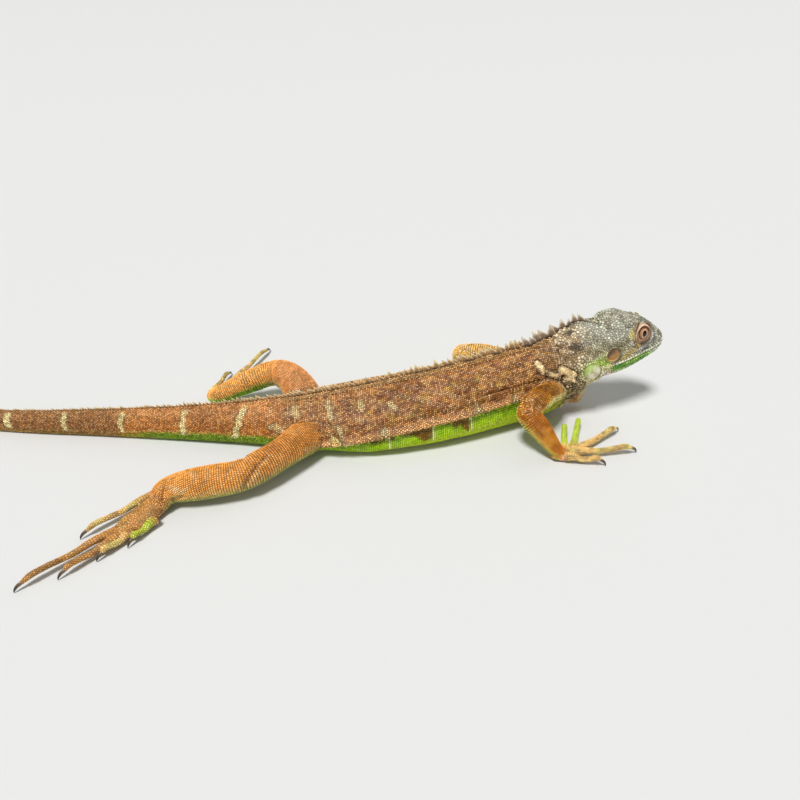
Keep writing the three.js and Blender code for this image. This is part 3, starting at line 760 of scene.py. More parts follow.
at, aside, z = body_place(place)
is_body = part == PART["body"]
over = z - fold_height(at)
stretch = ramp(4, 22, at) * ramp(137, 124, at)
flank = stretch * (np.abs(aside) > 7)
wavy = 0.75 + 0.5 * noise(np.stack([at, aside, 0 * at], -1), 9, 3)
body_out = flank * wavy * (bump(1.5, 2.8, over) - 1.5 * ramp(0.3, -0.9, over) * ramp(-9, -2, over))
body_out -= 0.5 * flank * wavy * bump(4.6, 1.5, over)
# The back rises to a low fold that carries the crest, with a groove on each side.
crested = ramp(-330, -120, at) * ramp(168, 160, at)
crest_fold = 0.45 + 0.75 * ramp(-40, 90, at)
on_top = z > smooth_at(BODY, at, "ridge") - 4.5
body_out += crested * on_top * crest_fold * (bump(0, 1.7, aside) - 0.5 * bump(2.1, 1.0, np.abs(aside)))
# Soft creases: over the ledge, up from the groin, behind the shoulder and round the root of the neck.
second = second_fold(at, z)
body_out += stretch * ramp(84, 98, at) * (0.8 * bump(1.2, 1.4, second) - 0.9 * bump(-0.7, 1.1, second))
for middle, lean, depth, width in (
    (132, 0.35, 0.8, 2.2), (141, 0.5, 0.6, 1.8), (149, 0.55, 0.45, 1.5), (3, -0.4, 0.5, 1.9),
):
    line = at - middle - lean * (z - 22)
    fading = depth * ramp(0, 7, np.abs(aside)) * ramp(4, 12, z)
    body_out -= fading * (bump(0, width, line) - 0.5 * bump(width * 1.2, width, line))
ripple = noise(np.stack([at * 0.5, aside, z], -1), 3.4, 5) - 0.5
body_out += 0.5 * ripple * stretch
out += body_out * is_body

for name in LIMBS:
    mine = part == PART[name]
    # The elbow or knee is at half of the tube's length: a fold and a crease on its inner side.
    inner = np.cos(turn - (0 if name.endswith("left") else np.pi))
    bent = along + 0.05 * inner
    out -= mine * ramp(-0.9, 0.3, inner) * (0.55 * bump(0.5, 0.03, bent) - 0.4 * bump(0.45, 0.045, bent))
    if name.startswith("leg"):
        out -= mine * (0.45 * bump(0.93, 0.028, along) + 0.5 * bump(0.08, 0.035, along))
    out += mine * 0.4 * (noise(place, 4.5, 8) - 0.5)

out -= crease_depth(place) - 0.4 * crease_depth(place, 2.0)
inward = h * 0
inward[:, 1] = -np.sign(h[:, 1])
moved = place + normal * out[:, None] + (inward @ HEAD_TURN.T) * sink[:, None]
moved[:, 2] = np.maximum(moved[:, 2], FLOOR_CLEAR)
set_points(skin.data, moved)
print("folds up to", round(float(out.max()), 2), "mm high and", round(float(-out.min()), 2), "mm deep")

# %% [markdown]
# ## Markings
#
# Skin and scales carry the same markings, so one function gives the colour of any place on the animal. It
# starts from a ground colour for each part and lays masks over it: lime under the fold, dark blotches
# that hang from it, cream bars on the tail, green on the jaw. Every mask is a formula in the body's own
# measures. The material adds the shading of each scale later.

# %% Colours
def colour(r, g, b):
    """A colour as it looks, 0 to 255, in the linear values that Blender works in."""
    c = np.array([r, g, b]) / 255
    return np.where(c <= 0.04045, c / 12.92, ((c + 0.055) / 1.055) ** 2.4)


def base(places, *tone):
    """One tone for all these places, to lay others on."""
    return colour(*tone) + 0 * places


def lay(ground, tone, share):
    """Lays a tone over the ground, which it changes, by its share at each place."""
    if isinstance(tone, tuple):
        tone = colour(*tone)
    ground += (tone - ground) * np.clip(share, 0, 1).reshape(-1, 1)
    return ground


# Dark wedges that hang from the fold: start and end by distance from the vent, depth, darkness. A cream
# bar follows each of the deep ones.
WEDGES = [
    (33, 47.5, 3.4, 0.8), (47, 69, 8.0, 1.0), (72, 88, 8.6, 1.0), (101, 107, 8.0, 0.35), (16, 27, 1.6, 0.5),
]
BELLY_BARS = [(48.3, 0.5), (69.8, 0.5), (88.9, 0.6)]
# Pale bars over the tail: distance from the vent, half-width and lean.
TAIL_BARS = [(-24.6, 1.6, 8.4), (-54.6, 1.5, 3), (-88, 1.3, 2), (-119, 1.4, 2), (-150, 1.8, 2)]
TAIL_BARS += [(-184 - 36 * k, 3.5 + 0.4 * k, 2) for k in range(9)]
PALE_PATCHES = [  # over the flank: distance from the vent, height, half-length and half-height
    (20, 21.6, 1.5, 3.4), (3, 20.5, 2.4, 1.6), (-6, 14, 3.4, 1.7), (45.8, 15.4, 1.5, 2.2),
    (25, 14.5, 1.1, 4.5), (91.5, 21, 1.9, 1.7), (112.5, 22, 1.7, 1.7), (36.5, 24, 1.8, 1.4),
    (51, 25, 2.2, 1.2), (28, 10, 2.4, 1.6),
]
STREAKS = [  # ochre streaks high on the flank, by the same four measures
    (80, 30.5, 3.4, 0.9), (66, 27, 2.6, 0.9), (94, 33, 3, 0.9), (58, 21, 2.4, 0.8), (104, 30, 2.6, 0.8),
]


def neck_colour(p):
    """Brown and dark between pale grains that stand in clusters."""
    tone = lay(base(p, 156, 132, 98), (74, 56, 40), 0.9 * ramp(0.44, 0.62, noise(p, 2.8, 6)))
    lay(tone, (222, 206, 172), 0.85 * ramp(0.53, 0.66, noise(p, 4.4, 7)))
    return lay(tone, (228, 208, 178), 0.7 * ramp(0.6, 0.7, noise(p, 1.7, 8)))


def trunk_colour(at, aside, z, p):
    """Trunk, neck and tail."""
    share = z / smooth_at(BODY, at, "ridge")
    jag = noise(p, 1.7, 11) - 0.5
    swirl = np.stack([at + 0.7 * z, aside, z - 0.5 * at], -1)
    ground = lay(base(p, 186, 132, 92), (180, 122, 78), ramp(0.75, 0.35, share))
    lay(ground, (124, 72, 40), 0.62 * ramp(0.46, 0.68, noise(swirl, (8, 7, 2.0), 1)))
    lay(ground, (224, 172, 118), 0.58 * ramp(0.5, 0.7, noise(swirl, (6, 6, 1.5), 2)))
    lay(ground, (206, 166, 86), 0.36 * ramp(0.6, 0.76, noise(swirl, (5, 5, 1.5), 4)))
    grain = noise(p, 1.25, 13)
    lay(ground, (96, 58, 32), 0.5 * ramp(0.48, 0.3, grain))
    lay(ground, (232, 194, 140), 0.5 * ramp(0.55, 0.75, grain))
    high = ramp(0.8, 0.94, share) * ramp(-60, 10, at) * ramp(150, 128, at)
    lay(ground, (196, 156, 108), 0.8 * high * ramp(2.2, 1.6, np.abs(aside)))
    # Painted shade: a dark line in the groove beside the low fold that carries the crest.
    lay(ground, (74, 44, 26), 0.8 * high * bump(2.4, 0.55, np.abs(aside)))
    top_band = bump(4.2, 1.8, np.abs(aside)) * ramp(0.7, 0.85, share) * ramp(0, 30, at)
    lay(ground, (206, 150, 104), 0.45 * top_band * ramp(130, 110, at))
    for middle, height, half, tall in STREAKS:
        spot = np.hypot((at - middle) / half, (z - height - 0.55 * (at - middle)) / tall)
        lay(ground, (210, 180, 104), 0.5 * ramp(1.3, 0.6, spot + 0.8 * jag))
    # Greyer and browner towards the head, with pale grains in patches.
    neck = ramp(122, 146, at)
    lay(ground, neck_colour(p), 0.9 * neck)
    # The ledge over the fold: its own warm colour, made paler by a painted highlight along its bulge, with a
    # line of painted shade in the groove above it; and the belly below it.
    over = z - fold_height(at)
    trunk = ramp(-10, 2, at) * ramp(150, 134, at)
    lay(ground, (246, 196, 146), 0.85 * trunk * bump(1.7, 2.4, over))
    # Painted shade: a dark line in the groove above the ledge.
    shade = trunk * bump(5.4, 1.2, over + jag) * ramp(40, 60, at)
    lay(ground, (96, 56, 32), 0.6 * shade * ramp(104, 88, at))
    # Painted shade in the groove under the second fold, and a painted highlight along its top.
    second = second_fold(at, z)
    crease = ramp(86, 96, at) * ramp(138, 128, at)
    lay(ground, (76, 44, 26), 0.75 * crease * bump(-0.7, 0.7, second))
    lay(ground, (216, 160, 112), 0.6 * crease * bump(1.2, 0.9, second))
    lime = lay(base(p, 140, 178, 30), (184, 214, 58), noise(p, 3, 12))
    # Paler lime low on the belly: partly its own colour, partly a painted highlight.
    lay(lime, (212, 228, 92), 0.7 * ramp(-5, -10, over))
    lay(lime, (216, 220, 150), 0.7 * ramp(3.2, 1.0, z))
    belly = trunk * ramp(0.35, -0.25, over + 0.8 * jag)
    lay(ground, lime, belly)
    ragged = noise(np.stack([at, 0 * at, 0 * at], -1), 3.1, 15) - 0.5
    for start, end, deep, dark in WEDGES:
        reach = np.clip((at - start) / (end - start), 0.0, 1.0)
        inside = ramp(start - 0.6, start + 0.6, at) * ramp(end + 0.4, end - 0.2, at + jag)
        hang = ramp(-1.0, 1.0, over + 0.6 + deep * reach**1.6 + 3.4 * ragged + 2.4 * jag)
        lay(ground, (116, 68, 38), 0.9 * dark * belly * inside * hang)
    for middle, half in BELLY_BARS:
        line = ramp(half + 0.2, half - 0.2, np.abs(at - middle + 0.6 * jag)) * ramp(-9.5, -7.5, over)
        lay(ground, (238, 234, 176), 0.95 * belly * line)
    # The tail: rust on its side, green beneath, crossed by jagged cream bars that start below the ridge.
    tail = ramp(4, -14, at)
    side = lay(base(p, 220, 160, 108), (198, 134, 82), ramp(0.85, 0.5, share))
    lay(side, (146, 90, 52), 0.45 * ramp(0.5, 0.75, noise(p, (6, 6, 2.0), 14)))
    lay(side, (234, 188, 134), 0.4 * ramp(0.56, 0.76, grain))
    fade = ramp(-66, -96, at)
    lay(side, (216, 190, 120), 0.7 * bump(0.4 - 0.1 * fade, 0.06, share + 0.1 * jag))
    lay(side, (134, 164, 44), (1 - 0.6 * fade) * ramp(0.41, 0.33, share + jag * 0.1 + 0.16 * fade))
    far = ramp(-150, -240, at)
    lay(side, (124, 94, 66), 0.85 * np.maximum(far, 0.6 * ramp(-89, -92, at)))
    below = ramp(0.99, 0.9, share - 0.3 * far)
    for middle, half, slope in TAIL_BARS:
        curve = 8 * (share - 0.7) ** 2 * (slope < 8)
        lean = at - middle + slope * (0.75 - share) - curve + 1.5 * jag
        bar = ramp(half + 0.35, half - 0.35, np.abs(lean)) * below
        edge = bump(half + 0.7, 0.45, np.abs(lean)) * below
        lay(side, (104, 64, 40), 0.55 * edge * ramp(0.3, 0.36, share + 0.4 * far))
        lay(side, (250, 236, 184), bar * ramp(0.26, 0.34, share + 0.4 * far))
    lay(ground, side, tail)
    for middle, height, half, tall in PALE_PATCHES:
        spot = np.hypot((at - middle + 0.25 * (z - height)) / half, (z - height) / tall)
        lay(ground, (110, 70, 44), 0.45 * ramp(1.7, 1.25, spot + 1.2 * jag))
        lay(ground, (234, 212, 164), 0.8 * ramp(1.2, 0.8, spot + 1.2 * jag))
    return ground


def head_colour(h, p):
    """The head: x to the snout, y away from the middle, z up from the mouth."""
    x, y, z = one_side(h).T
    jag = noise(p, 1.4, 21) - 0.5
    ground = lay(base(p, 174, 172, 156), (120, 120, 106), ramp(20, 31, x))
    lay(ground, (140, 134, 114), 0.85 * ramp(0.45, 0.68, noise(p, 3.2, 22)))
    lay(ground, (196, 196, 176), 0.65 * ramp(0.5, 0.72, noise(p, 2.2, 23)))
    cheek = ramp(17, 12, z) * ramp(25, 18, x)
    lay(ground, (176, 168, 130), 0.6 * cheek)
    lay(ground, (118, 102, 74), 0.55 * cheek * ramp(0.5, 0.75, noise(p, 2, 24)))
    lay(ground, neck_colour(p), 0.85 * ramp(2, -8, x))
    side = ramp(4.5, 6.5, y)
    # Round the eye: brown above and behind, yellow-cream behind, grey-white below, and a dark line of
    # painted shade under the brow.
    e = eye_rings(h)
    above = ramp(-1, 3, z - EYE_MIDDLE[1])
    behind = ramp(1, -3, x - EYE_MIDDLE[0])
    lay(ground, (146, 126, 100), 0.75 * side * ramp(1.8, 1.3, e))
    lay(ground, (120, 82, 60), 0.85 * side * ramp(1.34, 1.26, e) * (0.4 + 0.6 * above))
    lay(ground, (198, 152, 112), 0.6 * side * bump(1.2, 0.03, e) * (0.3 + 0.7 * above))
    lay(ground, (196, 172, 128), 0.7 * side * bump(1.4, 0.06, e) * behind)
    patch = np.hypot((x - 21.6) / 0.9, (z - 13.8) / 1.25)
    lay(ground, (222, 206, 138), 0.9 * side * ramp(3.4, 1.6, patch))
    # Painted shade: the dark line under the overhang of the brow, above the lid.
    lay(ground, (84, 52, 42), 0.9 * side * above * bump(1.5, 0.1, e + 0.1 * jag))
    lay(ground, (206, 202, 196), 0.75 * side * (1 - above) * bump(1.72, 0.36, e))
    lay(ground, (84, 54, 40), 0.9 * side * bump(1.08, 0.045, e))
    lay(ground, (248, 220, 186), 0.95 * side * bump(0.99, 0.05, e))
    # The left upper lid is plain grey-brown.
    lay(ground, (146, 138, 118), 0.9 * (h[:, 1] > 0) * ramp(15.5, 16.5, z) * ramp(2, 1.8, e))
    lay(ground, (66, 34, 24), 0.9 * side * bump(0.87, 0.06, e))
    lay(ground, (234, 186, 146), 0.9 * side * bump(0.79, 0.06, e))
    lay(ground, (50, 24, 16), side * ramp(0.75, 0.7, e))
    # Cream and yellow down the cheek to the lip, and the pale row of the lips.
    patch = side_distance(h, (24.5, 6.4), (17.0, 3.0))
    lay(ground, (196, 172, 112), 0.7 * side * ramp(3.2, 1.2, patch))
    lip = ramp(MOUTH_CORNER - 3, MOUTH_CORNER + 3, x)
    lay(ground, (232, 228, 206), 0.9 * lip * ramp(2.2, 1.5, z + jag) * ramp(-0.5, 0.1, z))
    # Painted highlight: pale grey-white patches over the tip of the snout.
    lay(ground, (212, 212, 196), 0.7 * ramp(33, 41, x) * ramp(0.4, 0.6, noise(p, 1.6, 27)))
    jaw = ramp(0.15, -0.25, z) * ramp(3, 9, x)
    green = lay(base(p, 92, 150, 62), (150, 190, 92), ramp(0.4, 0.75, noise(p, 2, 25)))
    lay(green, (208, 214, 190), ramp(31, 37, x + 2 * jag))
    lay(green, (226, 228, 206), ramp(-5.2, -7.2, z + 0.12 * (x - 18) + jag))
    lay(green, (230, 226, 200), 0.7 * ramp(3.5, 1.0, np.abs(z + 4.2) + 2.2 * ramp(0, 3, abs(x - 8))))
    lay(ground, green, jaw)
    # Behind the mouth: the cream rim of the ear, lime between ear and shield, cream folds under them.
    ear = ear_distance(h)
    slanted = z - 0.35 * (x - 4)
    low = side * ramp(10.5, 8.5, slanted + jag) * ramp(12, 7, x)
    lime = lay(base(p, 158, 194, 78), (206, 208, 138), ramp(0.45, 0.7, noise(p, 1.8, 26)))
    lay(ground, lime, 0.92 * low * ramp(-6, -1, x) * ramp(8.4, 6.6, z))
    lay(ground, (226, 226, 170), 0.9 * low * bump(8.2, 1.3, slanted))
    lay(ground, (214, 210, 160), 0.9 * side * ramp(3.4, 1.4, z) * ramp(12, 8, x) * ramp(-11, -5, x))
    lay(ground, (226, 214, 172), 0.85 * side * ramp(0, -3, z) * ramp(5, -2, x))
    low_rim = ramp(1.5, -2.5, z - EAR[2] + 0.8 * (x - EAR[0]))
    # Painted shade: a dark ring round the ear, showing over the upper and rear rim where the orange lower
    # rim does not cover it.
    lay(ground, (96, 76, 50), 0.85 * side * bump(3.9, 0.6, ear))
    lay(ground, (214, 150, 84), 0.95 * side * bump(3.75, 0.45, ear) * low_rim)
    # Painted shade in the groove along the front and lower edge of the shield.
    front = ramp(-1, 3, x - SHIELD[0])
    lay(ground, (84, 62, 40), 0.85 * side * front * bump(5.1, 0.7, shield_distance(h)) * ramp(4, 1, z))
    white = side_distance(h, (5.4, -3.4), (10.5, -5.8))
    return lay(ground, (232, 214, 204), 0.9 * side * ramp(2.4, 1.4, white))


LIMB_TONES = {  # at the root, the middle and the wrist or ankle
    "arm_right": ((178, 126, 74), (164, 106, 54), (204, 132, 70)),
    "arm_left": ((230, 184, 108), (242, 202, 124), (230, 190, 122)),
    "leg_right": ((212, 146, 80), (224, 158, 86), (204, 144, 86)),
    "leg_left": ((214, 150, 96), (238, 176, 100), (226, 172, 108)),
}


def limb_colour(name, along, p, n):
    """An arm or a leg: rust above, paler to the foot, lime to grey-green beneath."""
    up = n[:, 2]
    first, middle, last = LIMB_TONES[name]
    ground = lay(base(p, *first), middle, ramp(0.35, 0.6, along))
    lay(ground, last, ramp(0.82, 1.0, along))
    lay(ground, ground * 0.62, 0.5 * ramp(0.5, 0.78, noise(p, (5, 5, 3), 31)))
    lay(ground, (232, 180, 116), 0.35 * ramp(0.55, 0.8, noise(p, 4, 32)))
    lay(ground, (206, 188, 122), 0.6 * ramp(0.3, -0.25, up))
    lay(ground, (150, 168, 92), 0.8 * ramp(-0.15, -0.6, up))
    if name.startswith("leg"):
        # Painted shade in the groin crease at the root of the leg.
        lay(ground, (96, 60, 38), 0.6 * bump(0.08, 0.025, along))
    else:
        chest = ramp(0.52, 0.74, n[:, 0]) * ramp(0.5, 0.4, along) * ramp(0.5, 0.2, up)
        waves = ramp(0.52, 0.66, noise(p, (3.2, 3.2, 0.8), 34)) * ramp(0.5, 0.4, along)
        lay(ground, (96, 56, 30), 0.5 * waves)
        edge = lay(base(p, 226, 218, 160), (160, 192, 60), ramp(-0.02, -0.3, up))
        lay(ground, edge, 0.95 * chest)
        lay(ground, (236, 204, 168), 0.7 * ramp(0.56, 0.68, noise(p, 1.1, 33)) * bump(0.46, 0.12, along))
    if name == "leg_left":
        lay(ground, (132, 186, 44), 0.9 * ramp(0.1, -0.35, up) * ramp(0.52, 0.6, along))
    return ground


def foot_colour(name, along, p, up):
    """Palms and digits: tan scales, greenish knuckles, a few toes bright green."""
    ground = lay(base(p, 214, 178, 118), (204, 196, 122), 0.6 * ramp(0.4, 0.7, noise(p, 5, 41)))
    if name == "palm_leg_right" or name.startswith("digit_leg_right"):
        pale = name in ("digit_leg_right_2", "digit_leg_right_5")
        lay(ground, (170, 116, 64), (0.8 * ramp(0.35, 0.0, along) if pale else 0.78))
    lay(ground, (112, 84, 52), 0.5 * ramp(0.46, 0.7, noise(p, (3.4, 3.4, 1.5), 42)))
    if name == "palm_arm_right":
        lay(ground, (190, 112, 56), 0.85 * ramp(0.62, 0.4, along))
        wrist = ramp(0.3, 0.6, noise(p, 1.3, 43)) * ramp(0.45, 0.2, along) * ramp(5.6, 4.2, p[:, 2])
        lay(ground, (236, 196, 166), 0.6 * wrist)
    if name in ("digit_arm_right_1", "digit_arm_right_2", "digit_leg_right_1"):
        lay(ground, (174, 196, 78), (0.75 if "leg" in name else 0.92) * ramp(0.0, 0.25, along))
    if name == "digit_leg_left_1":
        lay(ground, (196, 204, 96), 0.7)
    return lay(ground, (176, 168, 128), 0.6 * ramp(-0.2, -0.7, up))


def dewlap_colour(p):
    lift = p[:, 2]
    ground = lay(base(p, 194, 144, 84), (134, 92, 44), ramp(5, 14, lift))
    lay(ground, (216, 170, 116), 0.7 * ramp(7, 3, lift))
    lay(ground, (80, 50, 32), 0.8 * ramp(0.7, 0.78, noise(p, 2.1, 51)))
    ahead = (p - DEWLAP_AT) @ heading(math.degrees(HEAD_YAW))
    return lay(ground, (228, 206, 160), 0.85 * ramp(7.8, 9.6, ahead))


def lobe_share(h, wider=0.0):
    """1 on the soft lobes of the neck and throat."""
    share = np.zeros(len(h))
    for start, end, radius, _ in LOBES:
        away = segment_distance(one_side(h), start, end)
        share = np.maximum(share, ramp(radius + 0.2 + wider, radius - 0.7 + wider, away))
    return share


def hide_colour(part, along, p, n):
    """The colour of the hide at places p with outward directions n."""
    made = np.zeros_like(p)
    h = to_head(p)
    at, aside, z = body_place(p)

    def as_trunk(chosen, lift=0):
        return trunk_colour(at[chosen], aside[chosen], z[chosen] + lift, p[chosen])

    for number in np.unique(part):
        name, mine = PART_NAMES[number], part == number
        if name == "body":
            made[mine] = as_trunk(mine)
        elif name == "head":
            made[mine] = head_colour(h[mine], p[mine])
        elif name == "dewlap":
            made[mine] = dewlap_colour(p[mine])
        elif name in LIMBS:
            made[mine] = limb_colour(name, along[mine], p[mine], n[mine])
        else:
            made[mine] = foot_colour(name, along[mine], p[mine], n[mine, 2])
    # The neck runs into the head without a border, and a limb's root takes the trunk's colour.
    body, head = part == PART["body"], part == PART["head"]
    blend = body & (at > 140)
    if blend.any():
        share = ramp(-16, -6, h[blend, 0]) * ramp(-16, -8, h[blend, 2])
        made[blend] = lay(made[blend], head_colour(h[blend], p[blend]), share)
    back = head & (h[:, 0] < -6)
    if back.any():
        made[back] = lay(made[back], as_trunk(back), 0.5 * ramp(-6, -15, h[back, 0]))
    for name in LIMBS:
        reach = 0.3 if name.startswith("arm") else 0.2
        root = (part == PART[name]) & (along < reach)
        if root.any():
            made[root] = lay(made[root], as_trunk(root, 6), 0.7 * ramp(reach, 0.04, along[root]))
    loose = part != PART["dewlap"]
    cream, rim = lobe_share(h), lobe_share(h, 1.2)
    # Painted shade in the groove round each lobe of the neck and throat.
    lay(made, (78, 56, 38), 0.8 * rim * (1 - cream) * loose)
    lobes = lay(base(p, 246, 224, 182), (202, 164, 114), 0.8 * ramp(0.5, 0.75, noise(p, 2.0, 9)))
    lay(made, lobes, 0.95 * cream * loose)
    # Painted shade in the creases of the right leg.
    lay(made, made * 0.45, crease_depth(p, 0.6))
    # Pale skin beside the creases of the ankle, the knee and the groin of the right leg.
    ankle = segment_distance(p, (-101, -61, 12.2), (-95.5, -61.5, 11.8)) + 1.6 * (noise(p, 1.5, 35) - 0.5)
    lay(made, (232, 192, 140), 0.75 * ramp(2.0, 0.8, ankle))
    knee = segment_distance(p, (-64.5, -52.5, 14.5), (-69, -57.5, 9.5))
    lay(made, (232, 196, 140), 0.6 * ramp(1.6, 0.6, knee))
    groin = segment_distance(p, (-33.5, -26, 14), (-30, -28.5, 9.5))
    lay(made, (222, 218, 150), 0.8 * bump(1.2, 0.9, groin) * (part == PART["body"]))
    # Colours stand out more on the body than on the grey head.
    plain = made @ np.array([[0.3], [0.6], [0.1]])
    strength = np.where(body, 1.22, 1.1)
    strength[part == PART["arm_right"]] = 1.3
    return np.maximum(plain + (made - plain) * strength[:, None], 0.002)


def keep_colour(mesh, values):
    """Stores the hide's colour at each point, for the material."""
    layer = mesh.attributes.new("hide", "FLOAT_COLOR", "POINT")
    opaque = np.append(values, np.ones((len(values), 1)), axis=1)
    layer.data.foreach_set("color", opaque.astype(np.float32).ravel())


def keep_value(mesh, values, name):
    layer = mesh.attributes.new(name, "FLOAT", "POINT")
    layer.data.foreach_set("value", np.asarray(values, np.float32))


skin_place, skin_normal = points_of(skin.data), normals_of(skin.data)
skin_part, skin_along, _ = part_of(skin_place)
keep_colour(skin.data, hide_colour(skin_part, skin_along, skin_place, skin_normal))
# How bare each place is. The lids and the ear's rim have no scales, and the head's scales stand close.
h = to_head(skin_place)
lids = ramp(1.2, 1.1, eye_rings(h)) * (np.abs(h[:, 1]) > 3.5)
rim = ramp(4.0, 3.6, ear_distance(h)) * (np.abs(h[:, 1]) > 6)
bare = np.where(skin_part == PART["head"], np.maximum(np.maximum(lids, rim), 0.5), 0.0)
bare = np.maximum(bare, lobe_share(h) * (skin_part < 2))
close = np.array([name.startswith(("palm", "digit", "dewlap")) for name in PART_NAMES])[skin_part]
bare = np.maximum(bare, 0.5 * close)
keep_value(skin.data, bare, "bare")
print("skin painted:", len(skin_place), "points")

# %% [markdown]
# ## Where the scales grow
#
# Scales stand in rows: whorls round the tail and trunk, rings round the limbs, lines along the lips and
# the lids. On the head, the throat and the palms they are a mosaic instead, scattered with a spacing that
# changes from place to place. Every root is then moved to the nearest point of the sculpted skin, which
# also gives the direction that the scale faces.

# %% The skin as something to ask
skin_triangles = triangles_of(skin.data)
skin_tree = BVHTree.FromPolygons(skin_place.tolist(), skin_triangles.tolist(), all_triangles=True)
skin_normal = normals_of(skin.data)
roots = {key: [] for key in "place normal part along turn lie length width rise kind".split()}
TRUNK_KIND, FLAT_KIND, PLATE_KIND, SPIKE_KIND, FINE_KIND = range(5)


def settle(places, far=2.6):
    """The nearest points of the skin, the directions out of it, and which places are near enough."""
    found = [skin_tree.find_nearest(p) for p in places.tolist()]
    spot = np.array([spot for spot, _, _, _ in found], float)
    near = np.array([away < far for _, _, _, away in found])
    corner = skin_triangles[[triangle for _, _, triangle, _ in found]]
    a, b, c = (skin_place[corner[:, i]] for i in range(3))
    whole = np.linalg.norm(np.cross(b - a, c - a), axis=1)
    wa = np.linalg.norm(np.cross(b - spot, c - spot), axis=1) / whole
    wb = np.linalg.norm(np.cross(c - spot, a - spot), axis=1) / whole
    shares = np.stack([wa, wb, np.clip(1 - wa - wb, 0, 1)], 1)
    out = unit((skin_normal[corner] * shares[..., None]).sum(1))
    return spot, out, near


class Crowd:
    """Roots already planted, in boxes, to keep the next ones from growing into them."""

    def __init__(self, cell=1.0):
        self.cell, self.boxes = cell, {}

    def room_for(self, p, clear):
        x, y, z = (int(v // self.cell) for v in p)
        reach = int(clear // self.cell) + 1
        for i in range(x - reach, x + reach + 1):
            for j in range(y - reach, y + reach + 1):
                for k in range(z - reach, z + reach + 1):
                    for a, b, c, theirs in self.boxes.get((i, j, k), ()):
                        away = (p[0] - a) ** 2 + (p[1] - b) ** 2 + (p[2] - c) ** 2
                        if away < max(clear, 0.9 * theirs) ** 2:
                            return False
        return True

    def plant(self, p, clear):
        self.boxes.setdefault(tuple(int(v // self.cell) for v in p), []).append((*p, clear))


crowd = Crowd()


def plant(places, lie, part, along, turn, length, width, rise, kind, clear):
    """Settles roots on the skin where there is room, and returns how many."""
    count = len(places)
    spot, out, near = settle(places)
    lie = unit(lie - out * (lie * out).sum(1, keepdims=True))
    clear = np.broadcast_to(clear, count)
    kept = []
    for i in np.flatnonzero(near):
        p = spot[i].tolist()
        if crowd.room_for(p, clear[i]):
            crowd.plant(p, clear[i])
            kept.append(i)
    kept = np.array(kept, int)
    for key, value in (("place", spot), ("normal", out), ("lie", lie)):
        roots[key].append(value[kept])
    rest = dict(part=part, along=along, turn=turn, length=length, width=width, rise=rise, kind=kind)
    for key, value in rest.items():
        roots[key].append(np.broadcast_to(np.asarray(value, float), count)[kept])
    return len(kept)


# %% Rows along the lips and rings round the eyes
rng = np.random.default_rng(7)


def head_side(x, z, proud=0.5):
    """Distance from the head's middle plane to its surface."""
    half, top, wide, bottom, box = row_at(HEAD, np.asarray(x, float))
    rise = np.clip(np.where(z >= wide, (z - wide) / (top - wide), (wide - z) / (wide - bottom)), 0, 1)
    cos = rise ** (1 / box)
    return half * np.sqrt(np.clip(1 - cos * cos, 0, 1)) ** box + proud


def on_head_at(places, way, size, tall, rise, kind, clear):
    """Scales of one size at places in the head's frame."""
    measures = size, tall, rise, kind, size * clear
    return plant(in_head(places), way @ HEAD_TURN.T, PART["head"], 0, 0, *measures)


def head_line(xs, zs, size, tall, rise, first, clear):
    """Plates at equal steps along a line on each side of the head."""
    curve = Curve([(x, float(head_side(x, z)), z) for x, z in zip(xs, zs)])
    t = curve.t_at(np.arange(size * first, curve.length, size))
    mirrors = np.repeat([(1, -1, 1), (1, 1, 1)], len(t), axis=0)
    spots, way = (np.tile(rows, (2, 1)) * mirrors for rows in (curve.at(t), curve.way(t)))
    return on_head_at(spots, -way, size, tall, rise, PLATE_KIND, clear)


def head_ring(around, x, y, z, *measures):
    """Scales in a ring on each side of the head."""
    way = np.stack([-np.sin(around), 0 * x, np.cos(around)], -1)
    return sum(on_head_at(np.stack([x, side * y, z], -1), way, *measures) for side in (-1, 1))


planted = 0
for z0, z1, size, tall in (
    (1.0, 1.0, 1.75, 1.45), (-1.0, -0.95, 1.6, 1.3), (2.5, 2.5, 1.7, 1.3), (-2.4, -2.2, 1.9, 1.5),
):
    xs = np.linspace(MOUTH_CORNER - 0.5 + abs(z0), 42.2, 12)
    planted += head_line(xs, np.linspace(z0, z1, 12), size, tall, 0.34, 0.5, 0.72)

for ring, size, tall, rise in (
    (1.21, 0.5, 0.5, 0.12), (1.36, 0.58, 0.58, 0.16), (1.52, 0.7, 0.7, 0.2), (1.7, 0.9, 0.95, 0.26),
):
    around = np.arange(0, 2 * np.pi, size / (4.45 * ring))
    a, b = EYE_HALF[0] * ring * np.cos(around), EYE_HALF[1] * ring * np.sin(around)
    x = EYE_MIDDLE[0] + a * math.cos(EYE_LEAN) + b * math.sin(EYE_LEAN)
    z = EYE_MIDDLE[1] - a * math.sin(EYE_LEAN) + b * math.cos(EYE_LEAN)
    y = np.full_like(x, 8.6 - 1.6 * (ring - 0.93))
    planted += head_ring(around, x, y, z, size, tall, rise, FINE_KIND, 0.72)

# A row of larger round plates below the eye, and three long ones over it.
for xs, zs, size in (
    ((21.5, 24.5, 28, 31.5, 34.5), (9.2, 6.4, 4.9, 4.9, 6.4), 1.75),
    ((18.5, 22, 26.5, 31, 34.5), (18.4, 20, 20, 17.8, 15), 2.1),
):
    planted += head_line(xs, zs, size, size * 0.9, 0.4, 0.4, 0.75)

# Small grains round the ear.
for ring, size in ((4.7, 0.75), (5.5, 0.9)):
    around = np.arange(0, 2 * np.pi, size / ring)
    x, z = EAR[0] + ring * np.cos(around), EAR[2] + ring * np.sin(around)
    planted += head_ring(around, x, head_side(x, z), z, size, size, 0.26, PLATE_KIND, 0.75)
print(planted, "scales in lines on the head")

